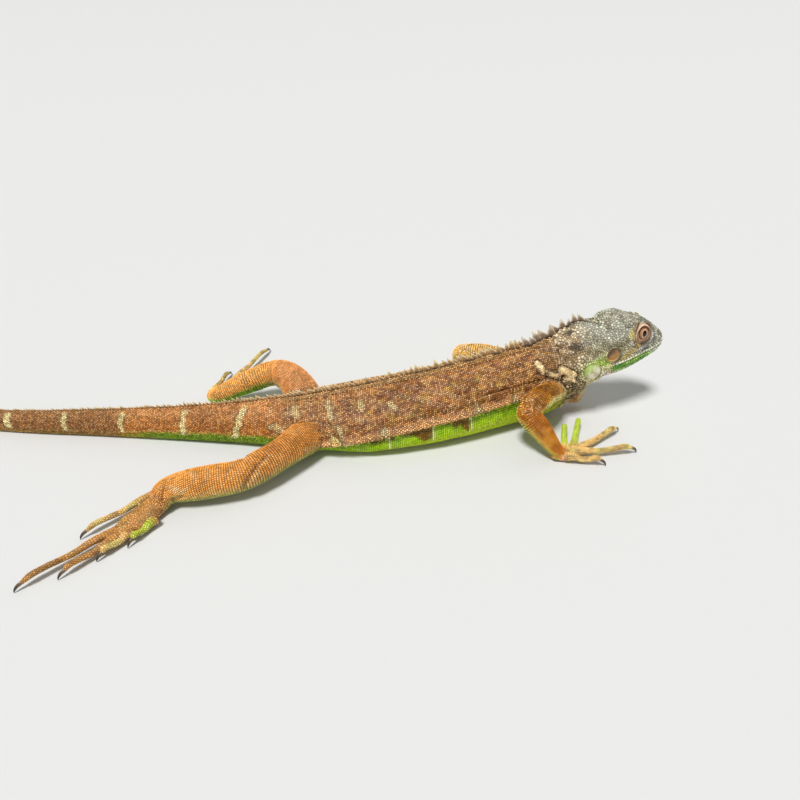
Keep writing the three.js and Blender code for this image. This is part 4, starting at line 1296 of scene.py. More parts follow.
# %% Whorls round the tail and trunk
def ring_roots(surface, t, spacing, stagger):
    """Turns at equal steps round a section."""
    turn = np.linspace(0, 2 * np.pi, 241)
    ring = surface(np.full(turn.shape, t), turn, -COAT_DEPTH)
    reached = np.concatenate([[0], np.cumsum(np.linalg.norm(np.diff(ring, axis=0), axis=1))])
    count = max(int(round(reached[-1] / spacing)), 5)
    where = (np.arange(count) + (0.5 if stagger else 0.0)) / count * reached[-1]
    return np.interp(where, reached, turn)


def rows_of(surface, places, spacings):
    """All roots of the rows, every other row half a step round."""
    turns = [ring_roots(surface, *row, i % 2) for i, row in enumerate(zip(places, spacings))]
    counts = [len(found) for found in turns]
    return np.repeat(places, counts), np.concatenate(turns), np.repeat(spacings, counts)


def body_step(at, measures=(1.15, 1.05, 0.86, 0.9, 0.95)):
    """A scale's length along the tail and trunk, or another measure at the same five places."""
    return np.interp(at, [-TAIL_LENGTH, -300, -40, 0, 140], measures)


steps, at = [], 138.0
while at > -TAIL_LENGTH + 2:
    steps.append(at)
    at -= body_step(at)
t, turn, wide = rows_of(body_surface, steps, body_step(steps, (0.9, 0.9, 0.86, 0.95, 1.0)))
turn = np.where(turn > np.pi, turn - 2 * np.pi, turn)
places = body_surface(t, turn, -COAT_DEPTH)
_, forward, _ = back_frame(t)
under = places[:, 2] < np.where(t > 0, fold_height(t) - 1.2, 2.0)
kind = np.where(under, FLAT_KIND, np.where(t < -20, SPIKE_KIND, TRUNK_KIND))
rise = np.where(under, 0.16, np.interp(t, [-500, -60, 60], [0.26, 0.36, 0.34]))
rise = rise * (1 - 0.5 * lobe_share(to_head(places)))
planted = plant(places, -forward, PART["body"], t, turn, body_step(t), wide, rise, kind, 0.6 * wide)
print(planted, "scales in whorls")

# %% Rings round the limbs and the digits
for name, tube in TUBES.items():
    if name.startswith("palm"):
        continue
    first, rise, kind = (0.05, 0.2, FINE_KIND) if name.startswith("digit") else (0.02, 0.32, TRUNK_KIND)
    step = 0.9
    along = np.arange(first, 0.985, step / tube.path.length)
    t, turn, wide = rows_of(tube.surface, along, np.full(len(along), 0.85))
    way, _, _ = tube.frame(t)
    plant(tube.surface(t, turn, -0.2), way, PART[name], t, turn, step, wide, rise, kind, 0.62 * wide)
print(sum(map(len, roots["place"])), "scales so far")

# %% The mosaic of the head, neck, palms and dewlap
def mosaic_spacing(p, h, part, nape):
    """How far apart the roots stand."""
    x, y, z = one_side(h).T
    dome = ramp(13, 19, z) * ramp(26, 18, x)
    size = 0.74 + 0.36 * dome * (0.4 + noise(p, 3, 61)) + 0.3 * noise(p, 2.2, 62) + 0.3 * ramp(27, 36, x)
    for here, spacing in (
        ((eye_rings(h) < 1.9) & (y > 4), 0.8),
        ((ear_distance(h) < 9) & (x > 9) & (y > 6), 0.95),
        ((z < -2.5) & (x > 6), 1.5),
        ((z < 8) & (x < 6), 0.9 + 0.6 * ramp(3, -4, z)),
    ):
        size = np.where((part == PART["head"]) & here, spacing, size)
    size = np.where(nape, 0.85 + 0.85 * ramp(0.48, 0.7, noise(p, 4.4, 7)), size)
    return np.where(part >= 2, np.where(part == PART["dewlap"], 0.9, 0.85), size)


corners = skin_place[skin_triangles]
area = np.linalg.norm(np.cross(corners[:, 1] - corners[:, 0], corners[:, 2] - corners[:, 0]), axis=1) / 2
CANDIDATES = 420_000
picked = rng.choice(len(area), CANDIDATES, p=area / area.sum())
r1, r2 = rng.random(CANDIDATES) ** 0.5, rng.random(CANDIDATES)
a, b, c = (corners[picked, i] for i in range(3))
spot = a * (1 - r1)[:, None] + b * (r1 * (1 - r2))[:, None] + c * (r1 * r2)[:, None]
h = to_head(spot)
on_side = np.abs(h[:, 1])
hidden = ((eye_rings(h) < 1.15) & (on_side > 3.5)) | ((ear_distance(h) < 4.2) & (on_side > 6))
hidden &= skin_part[skin_triangles[picked, 0]] == PART["head"]
hidden |= (shield_distance(h) < 4.5) & (on_side > 6)
spot, h = spot[~hidden], h[~hidden]
part, along, turn = part_of(spot)
head = part == PART["head"]
lie = np.where(head[:, None], -HEAD_TURN[:, 0], (-1.0, -0.15, 0))
nape = (part == PART["body"]) | (head & (h[:, 0] < -4) & (h[:, 2] > 0))
size = mosaic_spacing(spot, h, part, nape)
lobe = lobe_share(h) * (part < 2)
size = size + (0.85 - size) * lobe
rise = np.where(nape, 0.24 + 0.7 * (size - 0.7), 0.26 + 0.06 * size)
rise = rise + (0.12 - rise) * lobe
rise = np.where(part == PART["dewlap"], 0.12, np.where(part >= 2, 0.22, rise))
kind = np.where(part >= 2, FINE_KIND, PLATE_KIND)
print(plant(spot, lie, part, along, turn, size, size, rise, kind, 0.86 * size), "scales in mosaics")
roots = {key: np.concatenate(value) for key, value in roots.items()}
print(len(roots["place"]), "scales in all")

# %% [markdown]
# ## Growing the scales
#
# Each scale fills the region of the skin that is nearer to its root than to any other root. Its outline
# is found by looking from the root in a few directions and stopping half-way to whichever neighbour is
# first in the way. It is drawn in a little, so that the skin shows between scales, painted dark there as
# shade, and a small closed solid stands on it: a low grain on the trunk, a flat tile on the belly, a keeled
# blade on the tail, a round-edged plate on the head.

# %% The free distance round each root
NEIGHBOURS = 11
place, normal, lie = roots["place"], roots["normal"], roots["lie"]
across = np.cross(normal, lie)
root_tree = tree_of(place)
near = np.array([[q[1] for q in root_tree.find_n(p, NEIGHBOURS)] for p in place.tolist()])
gap = place[near[:, 1:]] - place[:, None]
gap_u = np.einsum("nkc,nc->nk", gap, lie)
gap_v = np.einsum("nkc,nc->nk", gap, across)
# A neighbour on the other side of a thin fold is not in the way.
facing = np.einsum("nkc,nc->nk", normal[near[:, 1:]], normal) > 0.2


def free_distance(chosen, angles):
    """The distance from the chosen roots to the border of their share in each direction."""
    u, v = gap_u[chosen][:, :, None], gap_v[chosen][:, :, None]
    toward = u * np.cos(angles) + v * np.sin(angles)
    half = (u * u + v * v) / 2
    open_way = (toward > 1e-6) & facing[chosen][:, :, None]
    reach = np.where(open_way, half / np.maximum(toward, 1e-6), 1e9).min(1)
    own = 0.5 * np.sqrt(roots["length"][chosen] * roots["width"][chosen])
    return np.minimum(reach, own[:, None] * 1.45)


# Each kind: directions, gap, inner rings as (share of the outline, share of the height), the lift of the
# rear edge, and how far back the top lies.
KINDS = {
    TRUNK_KIND: dict(sides=6, gap=0.07, rings=[(0.84, 0.6)], lift=0.4, back=0.18),
    FLAT_KIND: dict(sides=6, gap=0.06, rings=[(0.9, 0.9)], lift=0.15, back=0.0),
    PLATE_KIND: dict(sides=8, gap=0.06, rings=[(0.93, 0.5), (0.68, 0.88)], lift=0.15, back=0.1),
    SPIKE_KIND: dict(sides=6, gap=0.06, rings=[(0.86, 0.45)], lift=0.6, back=0.4),
    FINE_KIND: dict(sides=6, gap=0.05, rings=[(0.86, 0.7)], lift=0.25, back=0.1),
}
SINK = 0.14  # how far the foot of a scale is sunk in the skin


def grow(chosen, sides, gap, rings, lift, back):
    """Points of each scale, their height shares, and the faces of one scale."""
    angles = (np.arange(sides) + 0.5) / sides * 2 * np.pi
    reach = free_distance(chosen, angles)
    reach = np.maximum(reach - gap, 0.55 * reach)
    u, v = reach * np.cos(angles), reach * np.sin(angles)
    rise = roots["rise"][chosen][:, None] * (0.85 + 0.3 * rng.random((len(chosen), 1)))
    base, n, l, a = (x[chosen][:, None] for x in (place, normal, lie, across))
    made, shares = [base + l * u[..., None] + a * v[..., None] - n * SINK], [np.zeros_like(u)]
    for share, height in rings:
        # The lie points to the rear edge, so that edge is the lifted one.
        up = rise * height * (1 + lift * np.cos(angles))
        made.append(base + l * (u * share)[..., None] + a * (v * share)[..., None] + n * up[..., None])
        shares.append(np.full_like(u, height))
    tip_u = back * reach.mean(1, keepdims=True)
    made.append(base + l * tip_u[..., None] + n * (rise * (1 + 0.6 * lift * back))[..., None])
    shares.append(np.ones((len(chosen), 1)))
    faces = [(0, i + 1, i) for i in range(1, sides - 1)]
    for ring in range(len(rings)):
        low, high = ring * sides, (ring + 1) * sides
        for k in range(sides):
            nxt = (k + 1) % sides
            faces += [(low + k, low + nxt, high + nxt), (low + k, high + nxt, high + k)]
    top, hub = len(rings) * sides, (len(rings) + 1) * sides
    faces += [(top + k, top + (k + 1) % sides, hub) for k in range(sides)]
    points = np.concatenate(made, axis=1)
    points[..., 2] = np.maximum(points[..., 2], OVER_FLOOR)
    return points, np.concatenate(shares, axis=1), np.array(faces)


# %% Which piece of the coat each scale belongs to, and its place on the unwrap
root_part = roots["part"].astype(int)
vent, aside, _ = body_place(place)
head_place = to_head(place)
names = np.empty(len(place), object)
flat_map = np.zeros((len(place), 2))  # along and round, each from 0 to 1 over the piece


def spread(values, low=0.0, high=1.0):
    if len(values) < 2 or np.ptp(values) < 1e-9:
        return np.full(len(values), (low + high) / 2)
    return low + (high - low) * (values - values.min()) / np.ptp(values)


round_share = np.mod(roots["turn"], 2 * np.pi) / (2 * np.pi)
down = np.abs(np.mod(roots["turn"] + np.pi, 2 * np.pi) - np.pi)  # turn away from the ridge, either way
for side, mine in (("right", aside < 0), ("left", aside >= 0)):
    mine = mine & (root_part == PART["body"])
    names[mine & (down < 1.1)] = f"scales_back_{side}"
    names[mine & (down >= 1.1)] = f"scales_flank_{side}"
    names[mine & (roots["kind"] == FLAT_KIND) & (vent > -6)] = f"scales_belly_{side}"
names[(root_part == PART["head"]) | (root_part == PART["dewlap"])] = "scales_head"
for name in LIMBS:
    whole = [PART[n] for n in PART_NAMES if n.endswith(name) or n.startswith(f"digit_{name}")]
    names[np.isin(root_part, whole)] = f"scales_{name}"
for name in sorted(set(names)):
    mine = np.flatnonzero(names == name)
    if name == "scales_head":
        x, y, z = head_place[mine].T
        flat_map[mine] = np.stack([spread(x), spread(np.arctan2(y, z - 5))], -1)
    elif root_part[mine[0]] == PART["body"]:
        flat_map[mine] = np.stack([spread(vent[mine]), spread(down[mine])], -1)
    else:
        # The limb's tube above, its palm and its digits in strips of their own below.
        parts = np.unique(root_part[mine])
        shelf = 0.0
        for number in parts:
            here = mine[root_part[mine] == number]
            tall = 0.55 if PART_NAMES[number] in LIMBS else 0.45 / max(len(parts) - 1, 1)
            flat_map[here, 0] = spread(roots["along"][here])
            flat_map[here, 1] = spread(round_share[here], shelf + 0.006, shelf + tall - 0.006)
            shelf += tall

# %% Build the pieces of the coat
PATCH = 0.0015  # half of a scale's patch on the bake map
root_colour = hide_colour(root_part, roots["along"], place, normal)
tint = rng.random(len(place))
coat = []
for name in sorted(set(names)):
    grown = []  # for each kind: points, height shares, tints, colours, places on the unwrap, faces
    count = 0
    for kind, shape in KINDS.items():
        chosen = np.flatnonzero((names == name) & (roots["kind"] == kind))
        if not len(chosen):
            continue
        points, shares, faces = grow(chosen, **shape)
        number, each = points.shape[:2]
        offset = points - place[chosen][:, None]
        u = np.einsum("npc,nc->np", offset, lie[chosen])
        v = np.einsum("npc,nc->np", offset, across[chosen])
        wide = np.maximum(np.hypot(u, v).max(1, keepdims=True), 1e-6)
        centre = 0.006 + 0.988 * flat_map[chosen]
        grown.append((
            points.reshape(-1, 3),
            shares.ravel(),
            np.repeat(tint[chosen], each),
            np.repeat(root_colour[chosen], each, axis=0),
            (centre[:, None] + PATCH * np.stack([u / wide, v / wide], -1)).reshape(-1, 2),
            (faces + (np.arange(number) * each)[:, None, None] + count).reshape(-1, 3),
        ))
        count += number * each
    points, shares, tints, colours, unwrapped, faces = map(np.concatenate, zip(*grown))
    mesh = bpy.data.meshes.new(name)
    mesh.vertices.add(count)
    set_points(mesh, points)
    mesh.loops.add(faces.size)
    mesh.loops.foreach_set("vertex_index", faces.astype(np.int32).ravel())
    mesh.polygons.add(len(faces))
    mesh.polygons.foreach_set("loop_start", np.arange(0, faces.size, 3, dtype=np.int32))
    mesh.update(calc_edges=True)
    keep_colour(mesh, colours)
    keep_value(mesh, shares, "rise")
    keep_value(mesh, tints, "tint")
    unwrap = mesh.uv_layers.new(name="OFBake")
    unwrap.data.foreach_set("uv", unwrapped[faces.ravel()].astype(np.float32).ravel())
    mesh.polygons.foreach_set("use_smooth", np.zeros(len(faces), bool))
    coat.append(placed(name, mesh))
    print(f"{name}: {len(faces)} triangles")
print(sum(len(piece.data.polygons) for piece in coat), "triangles in the coat")

# %% [markdown]
# ## The crest
#
# The spines of the crest repeat along the ridge, so Geometry Nodes plants them: one spine is made, and
# the tree puts a copy at each step of a curve along the ridge, turned with it and scaled by a height kept
# on its points. The spines lean back, stand tallest on the nape and shrink to a fine saw on the tail.

# %% One spine, one unit tall
def spine_object():
    """A blade that leans back: 8 sides, narrowing to its tip. Its foot is sunk below its origin."""
    sides, levels = 8, 7
    turn = round_steps(sides)
    rings = []
    for s in np.linspace(0, 0.96, levels):
        length, thick = 0.52 * (1 - s) ** 0.8 + 0.02, 0.11 * (1 - s) ** 0.7 + 0.012
        middle = (-0.14 + 0.56 * s**1.3, 0, -0.28 + 1.28 * s)
        rings.append(np.stack([length * np.cos(turn), thick * np.sin(turn), 0 * turn], -1) + middle)
    vertices, faces = closed_grid(np.array(rings))
    vertices[-1] = (0.47, 0, 1.03)
    made = mesh_object("spine", vertices / MM, faces)
    keep_value(made.data, np.clip(vertices[:, 2], 0, 1), "rise")
    keep_value(made.data, np.append(np.tile(np.abs(np.cos(turn)), levels), (0, 1)), "edge")
    return made


def crest_tree(spine):
    """Spines at equal steps along a line of points, each scaled by the `tall` kept on the line."""
    tree = bpy.data.node_groups.new("crest", "GeometryNodeTree")
    kinds = {"Geometry": "Geometry", "Spacing": "Float", "Seed": "Int", "Finish": "Material"}
    for name, kind in kinds.items():
        tree.interface.new_socket(name, in_out="INPUT", socket_type=f"NodeSocket{kind}")
    tree.interface.new_socket("Geometry", in_out="OUTPUT", socket_type="NodeSocketGeometry")

    def node(kind, inputs, output=0, **settings):
        """One output of a new node, whose inputs are given by name or number."""
        made = tree.nodes.new(kind)
        for key, value in settings.items():
            setattr(made, key, value)
        for key, value in inputs.items():
            if isinstance(value, bpy.types.NodeSocket):
                tree.links.new(value, made.inputs[key])
            else:
                made.inputs[key].default_value = value
        return made.outputs[output]

    def by_chance(low, high, seed):
        limits = {2: low, 3: high, "Seed": seed}
        return node("FunctionNodeRandomValue", limits, 1, data_type="FLOAT")

    given = tree.nodes.new("NodeGroupInput").outputs
    line = node("GeometryNodeMeshToCurve", {"Mesh": given["Geometry"]})
    steps = node("GeometryNodeCurveToPoints", {0: line, "Length": given["Spacing"]}, mode="LENGTH")
    tangent = steps.node.outputs["Tangent"]
    height = node("GeometryNodeInputNamedAttribute", {"Name": "tall"}, data_type="FLOAT")
    chance = by_chance(0.7, 1.15, given["Seed"])
    size = node("ShaderNodeMath", {0: height, 1: chance}, operation="MULTIPLY")
    turned = node("FunctionNodeAlignEulerToVector", {"Vector": tangent}, axis="X", pivot_axis="Z")
    shape = node("GeometryNodeObjectInfo", {"Object": spine}, "Geometry")
    given_places = {"Points": steps, "Instance": shape, "Rotation": turned, "Scale": size}
    planted = node("GeometryNodeInstanceOnPoints", given_places)
    limits = {0: (-0.12, -0.22, -0.2), 1: (0.12, 0.3, 0.2), "Seed": 5}
    sway = node("FunctionNodeRandomValue", limits, data_type="FLOAT_VECTOR")
    planted = node("GeometryNodeRotateInstances", {"Instances": planted, "Rotation": sway})
    tint = {"Geometry": planted, "Name": "tint", "Value": by_chance(0.0, 1.0, 9)}
    toned = node("GeometryNodeStoreNamedAttribute", tint, data_type="FLOAT", domain="INSTANCE")
    solid = node("GeometryNodeRealizeInstances", {"Geometry": toned})
    done = node("GeometryNodeSetMaterial", {"Geometry": solid, "Material": given["Finish"]})
    tree.links.new(done, tree.nodes.new("NodeGroupOutput").inputs[0])
    return tree


CREST = stations(
    "at height",
    (-420, 0.8), (-300, 1.1), (-190, 1.6), (-60, 2.5), (10, 3.3), (60, 4.0), (88, 4.7), (120, 5.6),
    (144, 6.8), (152, 6.0),
)


def crest(name, start, end, spacing, finish, seed):
    """Spines along the ridge between two places, as one plain mesh."""
    at = np.linspace(start, end, max(int(abs(end - start) / 1.5), 8))
    ridge, _, _ = settle(body_surface(at, np.zeros_like(at), 0.0), 6)
    _, _, left = back_frame(at)
    ridge += left * (0.35 * (noise(np.stack([at, 0 * at, 0 * at], -1), 5, 71) - 0.5))[:, None]
    line = bpy.data.meshes.new(name)
    line.from_pydata((ridge * MM).tolist(), [(i, i + 1) for i in range(len(at) - 1)], [])
    keep_value(line, smooth_at(CREST, at, "height") * MM, "tall")
    made = placed(name, line)
    grower = made.modifiers.new("crest", "NODES")
    grower.node_group = CREST_TREE
    items = CREST_TREE.interface.items_tree
    sockets = {item.name: item.identifier for item in items if item.in_out == "INPUT"}
    grower[sockets["Spacing"]] = spacing * MM
    grower[sockets["Seed"]] = seed
    grower[sockets["Finish"]] = finish
    evaluated(made)
    print(name, len(made.data.polygons), "faces")
    return made


# %% [markdown]
# ## Materials
#
# All finishes are nodes. A small class lets the maths be written as ordinary Python. Colour comes from
# the markings kept on the mesh, and the nodes add what those can't hold: each scale's own tone, painted
# shade that darkens its foot against a paler tip, fine speckle, and a leathery bump.

# %% Node helpers
def operator(name):
    """A method that adds a Math node."""

    def applied(self, other):
        made = self.finish.node("ShaderNodeMath", {0: self, 1: other}, operation=name)
        return Value(self.finish, made)

    return applied


class Value:
    """A socket that carries a number, with Python's operators."""

    def __init__(self, finish, socket):
        self.finish, self.socket = finish, socket

    __add__ = __radd__ = operator("ADD")
    __mul__ = __rmul__ = operator("MULTIPLY")
    __sub__ = operator("SUBTRACT")
    __truediv__ = operator("DIVIDE")
    __pow__ = operator("POWER")

    def step(self, low, high):
        """0 at low and 1 at high, whichever is larger, and smooth between."""
        limits = {"From Min": min(low, high), "From Max": max(low, high)}
        ends = {"To Min": float(high < low), "To Max": float(high > low)}
        inputs = {"Value": self, **limits, **ends}
        made = self.finish.node("ShaderNodeMapRange", inputs, interpolation_type="SMOOTHSTEP")
        return Value(self.finish, made)


class Finish:
    """A material under construction."""

    def __init__(self, name, **uniform):
        self.material = bpy.data.materials.new(name)
        self.material.use_nodes = True
        self.tree = self.material.node_tree
        self.shader = self.tree.nodes["Principled BSDF"]
        self.set(**uniform)

    def fill(self, socket, value):
        if isinstance(value, Value):
            value = value.socket
        if isinstance(value, bpy.types.NodeSocket):
            self.tree.links.new(value, socket)
        else:
            socket.default_value = (*value, 1) if socket.type == "RGBA" else value

    def node(self, kind, inputs=(), output=0, **settings):
        made = self.tree.nodes.new(kind)
        for key, value in settings.items():
            setattr(made, key, value)
        for key, value in dict(inputs).items():
            self.fill(made.inputs[key], value)
        return made.outputs[output]

    def kept(self, name):
        return Value(self, self.node("ShaderNodeAttribute", output="Fac", attribute_name=name))

    def markings(self):
        return self.node("ShaderNodeAttribute", output="Color", attribute_name="hide")

    def speckle(self, per_mm, detail=3.0, stretch=None):
        place = self.node("ShaderNodeTexCoord", output="Object")
        if stretch:
            place = self.node("ShaderNodeMapping", {"Vector": place, "Scale": stretch})
        inputs = {"Vector": place, "Scale": per_mm * 1000.0, "Detail": detail}
        return Value(self, self.node("ShaderNodeTexNoise", inputs))

    def mix(self, share, a, b):
        return self.node("ShaderNodeMix", {0: share, 6: a, 7: b}, 2, data_type="RGBA")

    def scaled(self, tone, share):
        return self.node("ShaderNodeVectorMath", {0: tone, "Scale": share}, operation="SCALE")

    def bumped(self, height, strength, distance):
        inputs = {"Height": height, "Strength": strength, "Distance": distance * MM}
        return self.node("ShaderNodeBump", inputs)

    def set(self, **inputs):
        for name, value in inputs.items():
            self.fill(self.shader.inputs[name.replace("_", " ")], value)
        return self.material


# %% Hide and scales
def hide_finish():
    """The skin between the scales is painted darker, as shade in the gaps, but bare places keep their whole
    colour.
    """
    f = Finish("hide_between_scales", Roughness=0.6)
    tone = f.scaled(f.markings(), 0.16 + 0.3 * f.speckle(0.9, 2.0) + 0.78 * f.kept("bare"))
    return f.set(Base_Color=tone, Normal=f.bumped(f.speckle(1.6, 2.0), 0.35, 0.15))


def scale_finish(name, foot, gain, rough, vary, pale):
    """Painted shade darkens each scale towards its foot, so it is paler at the tip, and each scale has a
    tone of its own.
    """
    f = Finish(name, Specular_IOR_Level=0.35)
    rise, tint = f.kept("rise"), f.kept("tint")
    speck, mottle = f.speckle(1.3), f.speckle(0.42)
    # Painted shade: each scale darkens from its tip down to its foot, where it meets the skin.
    light = (foot + (1.0 - foot) * rise) * (1.0 - vary + 2 * vary * tint) * (0.5 + mottle) * gain
    tone = f.scaled(f.markings(), light * (0.8 + 0.4 * speck))
    tone = f.mix((tint.step(0.7, 0.95) * rise) * pale, tone, colour(238, 214, 170))
    roughness = rough + 0.2 * (speck - 0.5)
    return f.set(Base_Color=tone, Roughness=roughness, Normal=f.bumped(f.speckle(3.2), 0.25, 0.05))


HIDE = hide_finish()
BODY_SCALES = scale_finish("body_scales", 0.28, 1.58, 0.5, vary=0.5, pale=0.46)
HEAD_SCALES = scale_finish("head_scales", 0.28, 1.52, 0.48, vary=0.36, pale=0.2)
LIMB_SCALES = scale_finish("limb_scales", 0.22, 1.9, 0.46, vary=0.26, pale=0.22)
BELLY_SCALES = scale_finish("belly_scales", 0.5, 1.3, 0.5, vary=0.16, pale=0.2)


def spine_finish(name, middle, tip):
    """Dark at the foot, pale at the tip and along both edges."""
    f = Finish(name, Roughness=0.5, Specular_IOR_Level=0.35)
    rise, tint = f.kept("rise"), f.kept("tint")
    streak = f.speckle(1.1, stretch=(1, 1, 0.35))
    tone = f.mix(rise.step(0.0, 0.35), colour(62, 46, 34), colour(*middle))
    edge = f.kept("edge").step(0.5, 1.0) * rise.step(0.02, 0.3)
    tone = f.mix(rise.step(0.4, 0.8) * (0.6 + 0.4 * tint) + edge * 0.85, tone, colour(*tip))
    tone = f.scaled(tone, 0.72 + 0.56 * streak)
    return f.set(Base_Color=tone, Normal=f.bumped(f.speckle(2.4, 2.0), 0.3, 0.08))


NAPE_SPINES = spine_finish("nape_spines", (150, 126, 98), (255, 246, 226))
BACK_SPINES = spine_finish("back_spines", (176, 136, 88), (252, 232, 184))
spine = spine_object()
CREST_TREE = crest_tree(spine)
crests = [
    crest("crest_nape", 152.5, 124, 3.5, NAPE_SPINES, 1),
    crest("crest_back", 121, 22, 2.6, BACK_SPINES, 2),
    crest("crest_rump", 20, -60, 2.0, BACK_SPINES, 3),
    crest("crest_tail", -61.5, -190, 1.45, BACK_SPINES, 4),
    crest("crest_whip", -191.5, -410, 1.3, BACK_SPINES, 5),
]
bpy.data.objects.remove(spine)

# %% [markdown]
# ## Eyes
#
# The eyeball fills the lids: a closed ball with a low bulge for the cornea. Each of its points keeps its
# distance across and along the slightly leaning pupil, so the pupil, the pale ring round it and the
# copper iris are formulas in millimetres.

# %% Eyeballs
GAZE = unit(np.array([0.0, 0.95, 0.27]))  # in the head's frame, for the left eye
BALL = 5.15  # radius, in millimetres
BEHIND = 9  # kept on the ball's rear point, so that the pupil isn't drawn there
SIDES = {-1: "right", 1: "left"}


def eyeball(side):
    tall = unit(np.array([math.sin(EYE_LEAN), -GAZE[2] * math.cos(EYE_LEAN) / GAZE[1], math.cos(EYE_LEAN)]))
    wide = np.cross(tall, GAZE)
    rings = np.concatenate([np.linspace(0.01, 0.85, 34), np.linspace(0.9, 3.12, 20)])
    polar, spin = mesh_grid(rings, round_steps(64))
    across, along = np.sin(polar) * np.cos(spin), np.sin(polar) * np.sin(spin)
    way = GAZE * np.cos(polar)[..., None] + wide * across[..., None] + tall * along[..., None]
    cornea = 0.3 * np.exp(-((polar / 0.42) ** 2))
    grid = EYE + way * (BALL, 4.45, BALL) + way * cornea[..., None]
    made = mesh_object(f"eye_{SIDES[side]}_ball", *closed_grid(in_head(grid * (1, side, 1))))
    keep_value(made.data, np.append(BALL * across, (0, 0)), "across")
    keep_value(made.data, np.append(BALL * along, (0, BEHIND)), "along")
    return made


def eye_finish():
    f = Finish("eye", Roughness=0.3, Coat_Weight=0.6, Coat_Roughness=0.03, Specular_IOR_Level=0.2)
    across, along = f.kept("across"), f.kept("along")
    oval = ((across / 0.98) ** 2 + (along / 1.6) ** 2) ** 0.5
    ring = ((across / 2.75) ** 2 + (along / 3.3) ** 2) ** 0.5
    fleck = f.speckle(2.6, 4.0)
    tone = f.mix(fleck.step(0.35, 0.65), colour(124, 74, 42), colour(206, 150, 96))
    tone = f.mix(ring.step(0.75, 0.98), tone, colour(58, 28, 18))
    tone = f.mix(ring.step(1.0, 1.12), tone, colour(222, 170, 130))
    tone = f.mix((oval.step(1.55, 1.38)) * 0.85, tone, colour(228, 188, 158))
    tone = f.mix(oval.step(1.16, 0.98), tone, (0.003, 0.002, 0.002))
    return f.set(Base_Color=tone)


EYE_FINISH = eye_finish()
eyes = {side: eyeball(side) for side in SIDES}
print("eyeballs:", [len(e.data.polygons) for e in eyes.values()], "faces")

# %% [markdown]
# ## Eardrums, cheek shields and claws
#
# The eardrum is a thin brown membrane in a shallow dish, drawn in a little where the ear's small bone
# touches it. The round shield below it is one smooth plate. Both are turned from a profile, from the
# middle to the rim and round to the back.

# %% Turned pieces on the cheek
def skin_slope(centre, side):
    """The sculpted skin round a place as a plane: its slope ahead, its slope up, how far out."""
    outside, inside = 26.0, 5.0  # from the head's middle
    rows, out = [], []
    for x, z in (
        (0, 0), (2.6, 0), (-2.6, 0), (0, 2.6), (0, -2.6), (1.8, 1.8), (-1.8, -1.8), (1.8, -1.8), (-1.8, 1.8),
    ):
        ends = [(centre[0] + x, y * side, centre[2] + z) for y in (outside, inside)]
        start, end = in_head(ends)
        rows.append((x, z, 1.0))
        out.append(outside - skin_tree.ray_cast(Vector(start), Vector(end - start))[3])
    return np.linalg.lstsq(rows, out, rcond=None)[0]


def cheek_piece(name, centre, side, profile, oval=(1.0, 1.0), wave=0.0, ridge=None):
    """A disc from a profile of distances from its middle and distances out.

    A disc with a ridge follows the head's smooth side, and a plain one lies on the sculpted skin.
    """
    distance, out = np.array(profile).T
    r, spin = mesh_grid(distance, round_steps(48))
    y = out[:, None] + 0 * r
    r = r * (1 + wave * np.cos(3 * spin + 0.7) * (r > 0.5))
    x, z = r * np.cos(spin) * oval[0], r * np.sin(spin) * oval[1]
    if ridge:
        front = np.arange(len(distance)) < len(distance) * 0.7
        y = y + ridge(x, z) * front[:, None] + head_side(centre[0] + x, centre[2] + z, 0.0)
    else:
        ahead, up, rest = skin_slope(centre, side)
        y = y + rest + ahead * x + up * z
    grid = np.stack([centre[0] + x, y, centre[2] + z], -1)
    made = mesh_object(f"{name}_{SIDES[side]}_piece", *closed_grid(in_head(grid * (1, side, 1))))
    lift = 0.5 + 0.5 * (z * 0.8 - x * 0.6) / distance.max()
    keep_value(made.data, np.append(lift.ravel(), (0.5, 0.5)), "lift")
    keep_value(made.data, np.append((r / distance.max()).ravel(), (0, 0)), "reach")
    return made


def drum_ridge(x, z):
    away = np.abs(0.55 * x + 0.83 * z - 0.1)
    return 0.22 * bump(0, 0.5, away) * ramp(1.2, -0.4, x) * ramp(-3.2, -1.6, x)


DRUM_PROFILE = [
    (0.02, -0.85), (0.5, -0.85), (1.0, -0.82), (1.6, -0.76), (2.2, -0.7), (2.8, -0.66), (3.2, -0.66),
    (3.45, -0.75), (3.5, -0.95), (3.4, -1.3), (2.8, -1.45), (0.02, -1.5),
]
SHIELD_PROFILE = [
    (0.02, 0.95), (0.8, 0.93), (1.6, 0.87), (2.4, 0.76), (3.2, 0.58), (3.8, 0.34), (4.2, 0.08),
    (4.5, -0.3), (4.6, -0.8), (4.4, -1.3), (3.0, -1.6), (0.02, -1.6),
]
drums = {s: cheek_piece("eardrum", EAR, s, DRUM_PROFILE, ridge=drum_ridge) for s in SIDES}
shields = {
    s: cheek_piece("cheek_shield", SHIELD, s, SHIELD_PROFILE, oval=(1.02, 0.98), wave=0.03)
    for s in SIDES
}


def drum_finish():
    f = Finish("eardrum_skin", Roughness=0.34, Coat_Weight=0.5, Coat_Roughness=0.2)
    # Painted light: the drum is lighter low and in front and darker up and behind, as light falls into its
    # dish.
    bright = (f.kept("lift") + 0.5 * (f.speckle(0.35) - 0.5)).step(0.75, 0.3)
    tone = f.mix(bright, colour(96, 60, 20), colour(180, 126, 50))
    return f.set(Base_Color=tone, Normal=f.bumped(f.speckle(2.2, 2.0), 0.2, 0.05))


